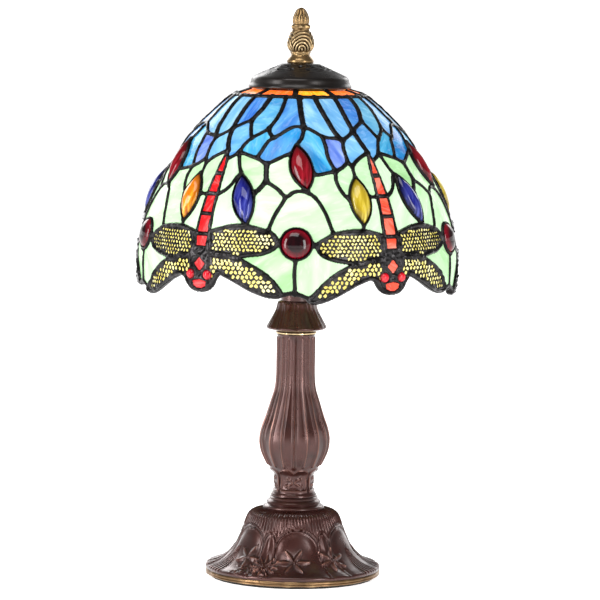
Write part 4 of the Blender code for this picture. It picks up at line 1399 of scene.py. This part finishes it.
def foot(materials):
    """The bright rim, and the bell-shaped casting on it."""
    rim = [
        [(46.0, 1.5), (53.6, 1.5)],
        [(53.6, 1.5), (54.7, 1.8), (54.9, 2.4), (54.4, 2.9)],
        [(54.4, 2.9), (55.0, 3.3), (55.0, 3.9), (54.5, RIM_TOP)],
        [(54.5, RIM_TOP), (46.0, RIM_TOP)],
    ]
    cast("foot_rim", rim, [], materials["brass"], "foot_and_column", ["base_rim"],
         worn_edge, 256, 0.4)
    bell = [
        [(54.6, RIM_TOP + GAP), (54.9, 5.6), (54.7, 6.3), (53.2, 6.9), (51, 7.6), (47.5, 8.9), (44.2, 10.8),
         (40.8, 13.6), (37.8, 17), (35.4, 21), (33.4, 25.5), (31.8, 30), (30.4, 34.5), (28.6, 38.8),
         (26.8, 40.9), (24, 42.2), (19.6, 42.7)],
        [(19.6, 42.7), (18.7, 43.1)],
        [(18.7, 43.1), (19.3, 44.0), (18.7, 45.2), (17.6, 45.5)],
        [(17.6, 45.5), (16.6, 46.1), (17.1, 47.4), (16.2, 48.5)],
        [(16.2, 48.5), (15.1, 49.2), (15.4, 50.2), (14.7, BASE_TOP)],
        [(14.7, BASE_TOP), (TUBE_HOLE, BASE_TOP)],
    ]
    inside = [
        (TUBE_HOLE, 46.6), (13.6, 44.4), (22.6, 39.4), (26.2, 36), (28, 31.6), (29.6, 26.4), (31.8, 21),
        (34.6, 16.4), (38, 12.6), (42, 9.4), (46, 7.4), (50.2, 6.2), (50.6, RIM_TOP + GAP),
    ]
    cast("foot_casting", bell, inside, materials["bronze"], "foot_and_column",
         ["base_casting"], foot_relief, 800, 0.8, 0.3)


def worn_edge(degrees, height, radius, arc):
    """Faint unevenness of a turned ring."""
    angle = np.radians(degrees)
    x = RIM_RADIUS * np.sin(angle)
    y = RIM_RADIUS * np.cos(angle)
    places = np.stack(np.broadcast_arrays(x, y, height), -1)
    return 0.12 * lumps(places.reshape(-1, 3), 4.0, SEED).reshape(places.shape[:2])


# The column's flutes and the leaves round its waist, and the collar's panels.
FLUTES = 16
WAIST_LEAVES = 4
COLLAR_PANELS = 9


def column_relief(degrees, height, radius, arc):
    """Wide flutes with thin ridges between them, and a ring of leaves round the waist."""
    aside = from_middle(degrees * FLUTES, 0) / 180
    depth = 0.55 + 0.5 * smooth_step(radius, 12, 20)
    flutes = smooth_step(height, 66, 72) * (1 - smooth_step(height, 151.8, 152.8))
    across = np.abs(aside) * 180 / FLUTES * np.radians(radius)
    ridge = 0.75 * gauss(across, 0.55) + 0.3 * gauss(across - 1.25, 0.35)
    lift = flutes * (ridge - depth * dome(np.abs(aside)) + 0.25)
    return np.where(waist_mask(height) > 0, 0, lift) + waist_relief(degrees, height, radius)


def waist_mask(height):
    return smooth_step(height, 53.4, 54.4) * (1 - smooth_step(height, 69.6, 70.2))


def waist_relief(degrees, height, radius):
    """Four leaves with raised outlines and a curled flower in each."""
    x = from_middle(degrees * WAIST_LEAVES, 0) / WAIST_LEAVES * np.radians(radius)
    half_width = 180 / WAIST_LEAVES * np.radians(radius)
    top = 69.3 - 1.7 * gauss(x, 1.7) - 4.0 * (np.abs(x) / half_width) ** 6
    edge = np.minimum(half_width - 0.9 - np.abs(x), np.minimum(top - height, height - 54.2))
    line = 0.6 * gauss(edge - 0.5, 0.45)
    pad = smooth_step(edge, -0.1, 0.5) * (0.3 + 0.9 * gauss(height - 60.5, 4))
    curls = np.zeros(np.broadcast(degrees, height).shape)
    for turn, length in ((0.9, 4.6), (-0.9, 4.0), (2.2, 5.2), (-2.2, 4.6)):
        curls = np.maximum(curls, leaf(x, height - 60.6, turn, 0.4, length, 1.1))
        tip_x = x - length * math.sin(turn)
        tip_y = height - 60.6 - length * math.cos(turn)
        curls = np.maximum(curls, gauss(np.hypot(tip_x, tip_y) - 1.0, 0.42))
    inside = smooth_step(edge, 0.8, 1.5)
    return waist_mask(height) * (line + pad + 0.85 * curls * inside)


def collar_relief(degrees, height, radius, arc):
    """Broad panels that swell between thin valleys, and lean a little to one side."""
    present = smooth_step(height, 157.0, 157.8) * (1 - smooth_step(height, 173, 174.8))
    lean = degrees + (height - 157) * 0.45
    aside = np.abs(from_middle(lean * COLLAR_PANELS, 180)) / 180
    swell = np.sqrt(np.clip(1 - aside**2.4, 0, 1))
    across = from_middle(lean * COLLAR_PANELS, 120) / COLLAR_PANELS * np.radians(radius)
    strength = 0.5 + 0.7 * smooth_step(radius, 12, 17)
    return present * (strength * (swell - 0.75) + 0.35 * gauss(across, 0.5))


def column(materials):
    """The fluted column and the bright ring on it."""
    baluster = [
        [(14.5, BASE_TOP + GAP), (14.4, 52.2), (12.9, 54.2), (11.2, 57.4), (10.9, 61.0), (11.9, 64.6),
         (14.5, 68.2), (17.4, 73), (20.4, 80), (21.3, 87), (20.1, 94), (17.3, 102), (14.2, 112),
         (12.1, 119), (11.3, 127), (11.2, 137), (11.2, 151.4), (11.7, 152.6)],
        [(11.7, 152.6), (12, 153.0), (11.9, COLUMN_TOP)],
        [(11.9, COLUMN_TOP), (TUBE_HOLE, COLUMN_TOP)],
    ]
    cast("fluted_column", baluster, [(TUBE_HOLE, BASE_TOP + GAP)], materials["bronze"],
         "foot_and_column", ["column"], column_relief, 600, 0.8, 0.35)
    ring = [
        [(TUBE_HOLE, 153.9), (11.9, 153.9)],
        [(11.9, 153.9), (12.8, 154.3), (12.8, 154.9), (12.1, 155.3)],
        [(12.1, 155.3), (TUBE_HOLE, 155.3)],
    ]
    cast("bright_ring", ring, [], materials["bright_brass"], "foot_and_column", [],
         worn_edge, 96, 0.4)


def collar(materials):
    bell = [
        [(9.0, 155.5), (12.4, 155.6), (17.6, 157.1)],
        [(17.6, 157.1), (18.5, 157.3), (18.6, 158.0), (18.0, 159.2), (15.6, 163.6), (13.1, 168.8),
         (11.8, 174)],
        [(11.8, 174), (9.8, 175)],
        [(9.8, 175), (9.8, COLLAR_TOP)],
        [(9.8, COLLAR_TOP), (TUBE_HOLE, COLLAR_TOP)],
    ]
    cast("panelled_collar", bell, [(TUBE_HOLE, 155.5)], materials["bronze"], "foot_and_column",
         ["collar"], collar_relief, 384, 0.5, 0.3)


def finial_relief(degrees, height, radius, arc):
    """A ribbed bud above a ring of beads, over four curled leaves, over a plain turned base."""
    bud = smooth_step(height, 348.0, 349.2) * (1 - smooth_step(height, 356.8, 358.3))
    lift = bud * 0.7 * (np.abs(np.cos(np.radians(degrees) * 4.5 + 0.2)) ** 0.6 - 0.6)
    beads = gauss(height - 346.4, 1.2)
    lift = lift + beads * (1.3 * gauss(from_middle(degrees * 6, 0) / 6 * np.radians(radius), 2.0) - 0.6)
    leaves = smooth_step(height, 331.0, 332.0) * (1 - smooth_step(height, 343.2, 344.6))
    x = from_middle(degrees * 4, 30) / 4 * np.radians(radius) - 0.25 * np.clip(height - 336, 0, None)
    rings = np.hypot(x * 1.1, np.clip(height - 332.6, 0, None))
    arches = np.abs(np.cos(rings * math.pi / 2.1)) ** 0.8
    lift = lift + leaves * 0.9 * (arches - 0.6)
    studs = gauss(height - 330.4, 0.9) * gauss(from_middle(degrees * 10, 180) / 10 * np.radians(radius), 0.9)
    return lift + 0.6 * studs


def cap_relief(degrees, height, radius, arc):
    """Shallow chased scrolls round the vents, and a lobed edge."""
    lobes = 0.4 * gauss(height - 309.0, 0.9) * (np.abs(np.cos(np.radians(degrees) * 9)) ** 0.5 - 0.6)
    chased = smooth_step(radius, 12.2, 13.2) * (1 - smooth_step(radius, 21, 23))
    scroll = np.cos(np.radians(degrees) * 12 + (radius - 12) * 0.9) * np.cos((radius - 12) * 1.3)
    return lobes + 0.22 * chased * scroll


# The cap's rings of vents: radius, length, width, lean and first angle as a share of the spacing.
VENT_RINGS = ((14.6, 3.2, 1.1, 0.7, 0), (18.6, 3.8, 1.3, -0.7, 0.5))
VENTS = 12


def vent_outlines():
    """Leaf-shaped vents in two rings, as outlines in millimetres."""
    outlines = []
    for middle, length, width, lean, first in VENT_RINGS:
        for number in range(VENTS):
            angle = math.tau * (number + first) / VENTS
            x, y = middle * math.sin(angle), middle * math.cos(angle)
            right, up = math.sin(angle + lean), math.cos(angle + lean)
            outline = []
            for step in range(12):
                turn = math.tau * step / 12
                along = math.cos(turn) * length / 2
                across = math.sin(turn) * width * (1 - 0.35 * math.cos(turn))
                outline.append((x + along * right + across * up, y + along * up - across * right))
            outlines.append(outline)
    return outlines


def tube_faces(rings, count, start=0):
    """Faces of a tube of rings with count points each, closed by a flat face at either end."""
    last = start + (rings - 1) * count
    faces = [[start + i for i in range(count)], [last + i for i in reversed(range(count))]]
    for low in range(start, last, count):
        for i in range(count):
            j = (i + 1) % count
            faces.append((low + j, low + i, low + count + i, low + count + j))
    return faces


def prisms(outlines, low, high):
    """Verts and faces of upright prisms over outlines in millimetres."""
    verts = []
    faces = []
    for outline in outlines:
        faces += tube_faces(2, len(outline), len(verts))
        verts += [(x * MM, y * MM, z * MM) for z in (low, high) for x, y in outline]
    return verts, faces


def pierce(obj, verts, faces):
    """Cuts closed solids out of a piece."""
    mesh = bpy.data.meshes.new("vent_cutter")
    mesh.from_pydata(verts, [], faces)
    cutter = bpy.data.objects.new("vent_cutter", mesh)
    bpy.context.scene.collection.objects.link(cutter)
    modifier = obj.modifiers.new("vents", "BOOLEAN")
    modifier.object = cutter
    modifier.solver = "EXACT"
    depsgraph = bpy.context.evaluated_depsgraph_get()
    obj.data = bpy.data.meshes.new_from_object(obj.evaluated_get(depsgraph))
    obj.modifiers.clear()
    bpy.data.objects.remove(cutter)


def cap(materials):
    """The pierced cap on the shade's crown."""
    outside = [
        [(28.4, 308.3), (31.2, 308.3), (32.2, 309.0), (32.0, 310.0), (31.2, 311.4), (30.6, 313.6)],
        [(30.6, 313.6), (29.6, 315.2), (25, 317.6), (20.4, 319.6), (13.6, 322.4)],
        [(13.6, 322.4), (12.4, CAP_TOP), (11.3, CAP_TOP)],
        [(11.3, CAP_TOP), (3.5, CAP_TOP)],
    ]
    inside = [
        (3.5, 321.4), (11, 321.4), (12.2, 320.4), (19.8, 316.8), (26.6, 313.4), (27.8, 312), (28.2, 309),
    ]
    piece = cast("pierced_cap", outside, inside, materials["dark_bronze"], "cap",
                 ["vented_cap"], cap_relief, 240, 0.6)
    pierce(piece, *prisms(vent_outlines(), 300, 335))


def finial(materials):
    """The finial, written from its tip down, with a blind bore for the stud."""
    bottom = CAP_TOP + GAP
    bore = [(0, STUD_TOP + 1), (3.3, STUD_TOP + 1)]
    knob = [
        [(0, FINIAL_TOP), (0.9, 358.35)],
        [(0.9, 358.35), (2.1, 357.6), (3.5, 355.6), (4.6, 353.2), (5.1, 350.8), (5.0, 349.0), (5.0, 348.4)],
        [(5.0, 348.4), (5.8, 347.4), (6.1, 346.2), (5.7, 345.2), (5.4, 344.6)],
        [(5.4, 344.6), (6.3, 342.8), (7.5, 340.2), (8.3, 337.2), (8.2, 334.6), (7.2, 332.2), (6.0, 330.9),
         (5.8, 329.6), (6.2, 328.4), (7.6, 326.8), (8.3, 325.6), (8.4, 324.6), (8.0, bottom)],
        [(8.0, bottom), (3.3, bottom)],
    ]
    upward = [run[::-1] for run in knob[::-1]]
    cast("leaf_finial", upward, bore, materials["antique_brass"], "finial",
         ["finial"], finial_relief, 288, 0.3)


# --- Inside the shade -----------------------------------------------------------------------


def sweep(name, path, radius, mat, body, nodes, sides=20):
    """A round wire along a smooth (x, height) path in the XZ plane."""
    line = np.array(spline(path, 1.5))
    along = np.gradient(line, axis=0)
    along /= np.linalg.norm(along, axis=1)[:, None]
    turns = np.arange(sides) * math.tau / sides
    rings = []
    for (x, z), (tx, tz) in zip(line, along):
        across = radius * np.cos(turns)
        rings.append(np.stack([x + across * tz, radius * np.sin(turns), z - across * tx], -1) * MM)
    verts = np.concatenate(rings)
    faces = tube_faces(len(rings), sides)
    add_piece(name, verts, faces, mat, body, {"relief": np.full(len(verts), 0.5)}, nodes)


def thread_relief(low, high, pitch, depth):
    """A screw thread between two heights."""

    def relief(degrees, height, radius, arc):
        present = smooth_step(height, low, low + 1) * (1 - smooth_step(height, high - 1, high))
        return present * depth * np.cos(math.tau * (height / pitch - degrees / 360))

    return relief


def harp_strap(materials):
    """The flat strap under the lampholder that the harp's wire stands on."""
    outline = []
    for end in (1, -1):
        for step in range(13):
            turn = math.radians(-90 + 15 * step)
            outline.append((end * (26 + 6 * math.cos(turn)), end * 6 * math.sin(turn)))
    verts, faces = prisms([outline], STRAP_BOTTOM, STRAP_TOP)
    add_piece("harp_strap_plate", verts, faces, materials["brass"], "foot_and_column",
              {"relief": np.full(len(verts), 0.5)})


def harp(materials):
    """The bow that carries the shade over the bulb, its strap, and the socket on its top."""
    brass = materials["brass"]
    bow = [(29, 181.8), (29.5, 184), (31, 190), (34, 203), (36, 220), (35.5, 240), (33, 260), (28, 277),
           (20.5, 290), (11, 297.5), (0, 299.5)]
    whole = bow + [(-x, z) for x, z in bow[-2::-1]]
    sweep("harp_wire", whole, 1.7, brass, "foot_and_column", ["harp"])
    harp_strap(materials)
    socket = [
        [(0, 295.5), (4.6, 295.5)],
        [(4.6, 295.5), (5.5, 296.3), (5.5, 302.8), (4.8, HARP_SHOULDER)],
        [(4.8, HARP_SHOULDER), (3.3, HARP_SHOULDER)],
        [(3.3, HARP_SHOULDER), (3.3, 301.4)],
    ]
    cast("harp_socket", socket, [(0, 301.4)], brass, "foot_and_column", [], None, 48, 0.5)


def lampholder(materials):
    """The threaded sleeve that takes the bulb, and its porcelain foot."""
    shell = [
        [(3, SHELL_BOTTOM), (13.4, SHELL_BOTTOM)],
        [(13.4, SHELL_BOTTOM), (14, 188.6), (14, 193)],
        [(14, 193), (14.5, 193.6), (14, 194.2)],
        [(14, 194.2), (14, 204.6), (15.4, 206.4), (15.6, 208), (15.3, 209.6), (13.8, SHELL_TOP)],
        [(13.8, SHELL_TOP), (8.2, SHELL_TOP)],
        [(8.2, SHELL_TOP), (8.2, 189.4)],
    ]
    cast("lampholder_sleeve", shell, [(3, 189.4)], materials["brass"], "foot_and_column",
         ["lampholder_shell"], thread_relief(195, 204, 2.2, 0.25), 96, 0.5)
    holder = [
        [(TUBE_HOLE, 182.8), (12.3, 182.8)],
        [(12.3, 182.8), (13.6, 183.4), (14, 184.6), (14, 187.7)],
        [(14, 187.7), (TUBE_HOLE, 187.7)],
    ]
    cast("lampholder_foot", holder, [], materials["porcelain"], "foot_and_column",
         ["lampholder_base"], None, 64, 0.6)


def bulb(materials):
    """The bulb's screw cap and its glass, which narrows to a neck."""
    screw = [
        [(0, 189.7), (2.2, 189.7)],
        [(2.2, 189.7), (3.4, 190.4), (6.2, 192.2), (6.6, 193)],
        [(6.6, 193), (6.6, 211.0)],
        [(6.6, 211.0), (0, 211.0)],
    ]
    cast("bulb_screw", screw, [], materials["brass"], "bulb", ["bulb_screw_cap"],
         thread_relief(194, 208, 2.8, 0.3), 64, 0.4)
    globe = [(6.8, 211.3), (7.0, 214), (8.4, 218.6)]
    for turn in range(-56, 90, 12):
        angle = math.radians(turn)
        globe.append((BULB_RADIUS * math.cos(angle), BULB_CENTRE + BULB_RADIUS * math.sin(angle)))
    top = BULB_CENTRE + BULB_RADIUS
    globe[-1] = (1.2, top - 0.03)
    tip = [globe[-1], (0, top)]
    inside = [(0, top - 0.9), (20, 244), (5.9, 212.5)]
    cast("bulb_globe", [globe, tip], inside, materials["bulb_frost"], "bulb",
         ["bulb_glass"], None, 96, 1.2)


def finish_cad_nodes(materials):
    """CAD pieces that keep their shape get a finished material."""
    for node, finish in CAD_FINISHES.items():
        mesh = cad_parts[node].data
        mesh.materials.clear()
        mesh.materials.append(materials[finish])


def shade(materials):
    """The leads, the dragonflies, the panes and the stones."""
    metal_pieces(-HALF, False, "leading", materials["black_lead"], [])
    metal_pieces(0, True, "dragonfly_casting", materials["grey_lead"], ["dragonfly_{}"])
    glass_panes(materials)
    shade_stones(materials)


def build():
    add_camera()
    add_studio()
    add_floor()
    materials = make_materials()
    for make in (foot, column, collar, harp, lampholder, bulb, shade, cap, finial, finish_cad_nodes):
        make(materials)


build()
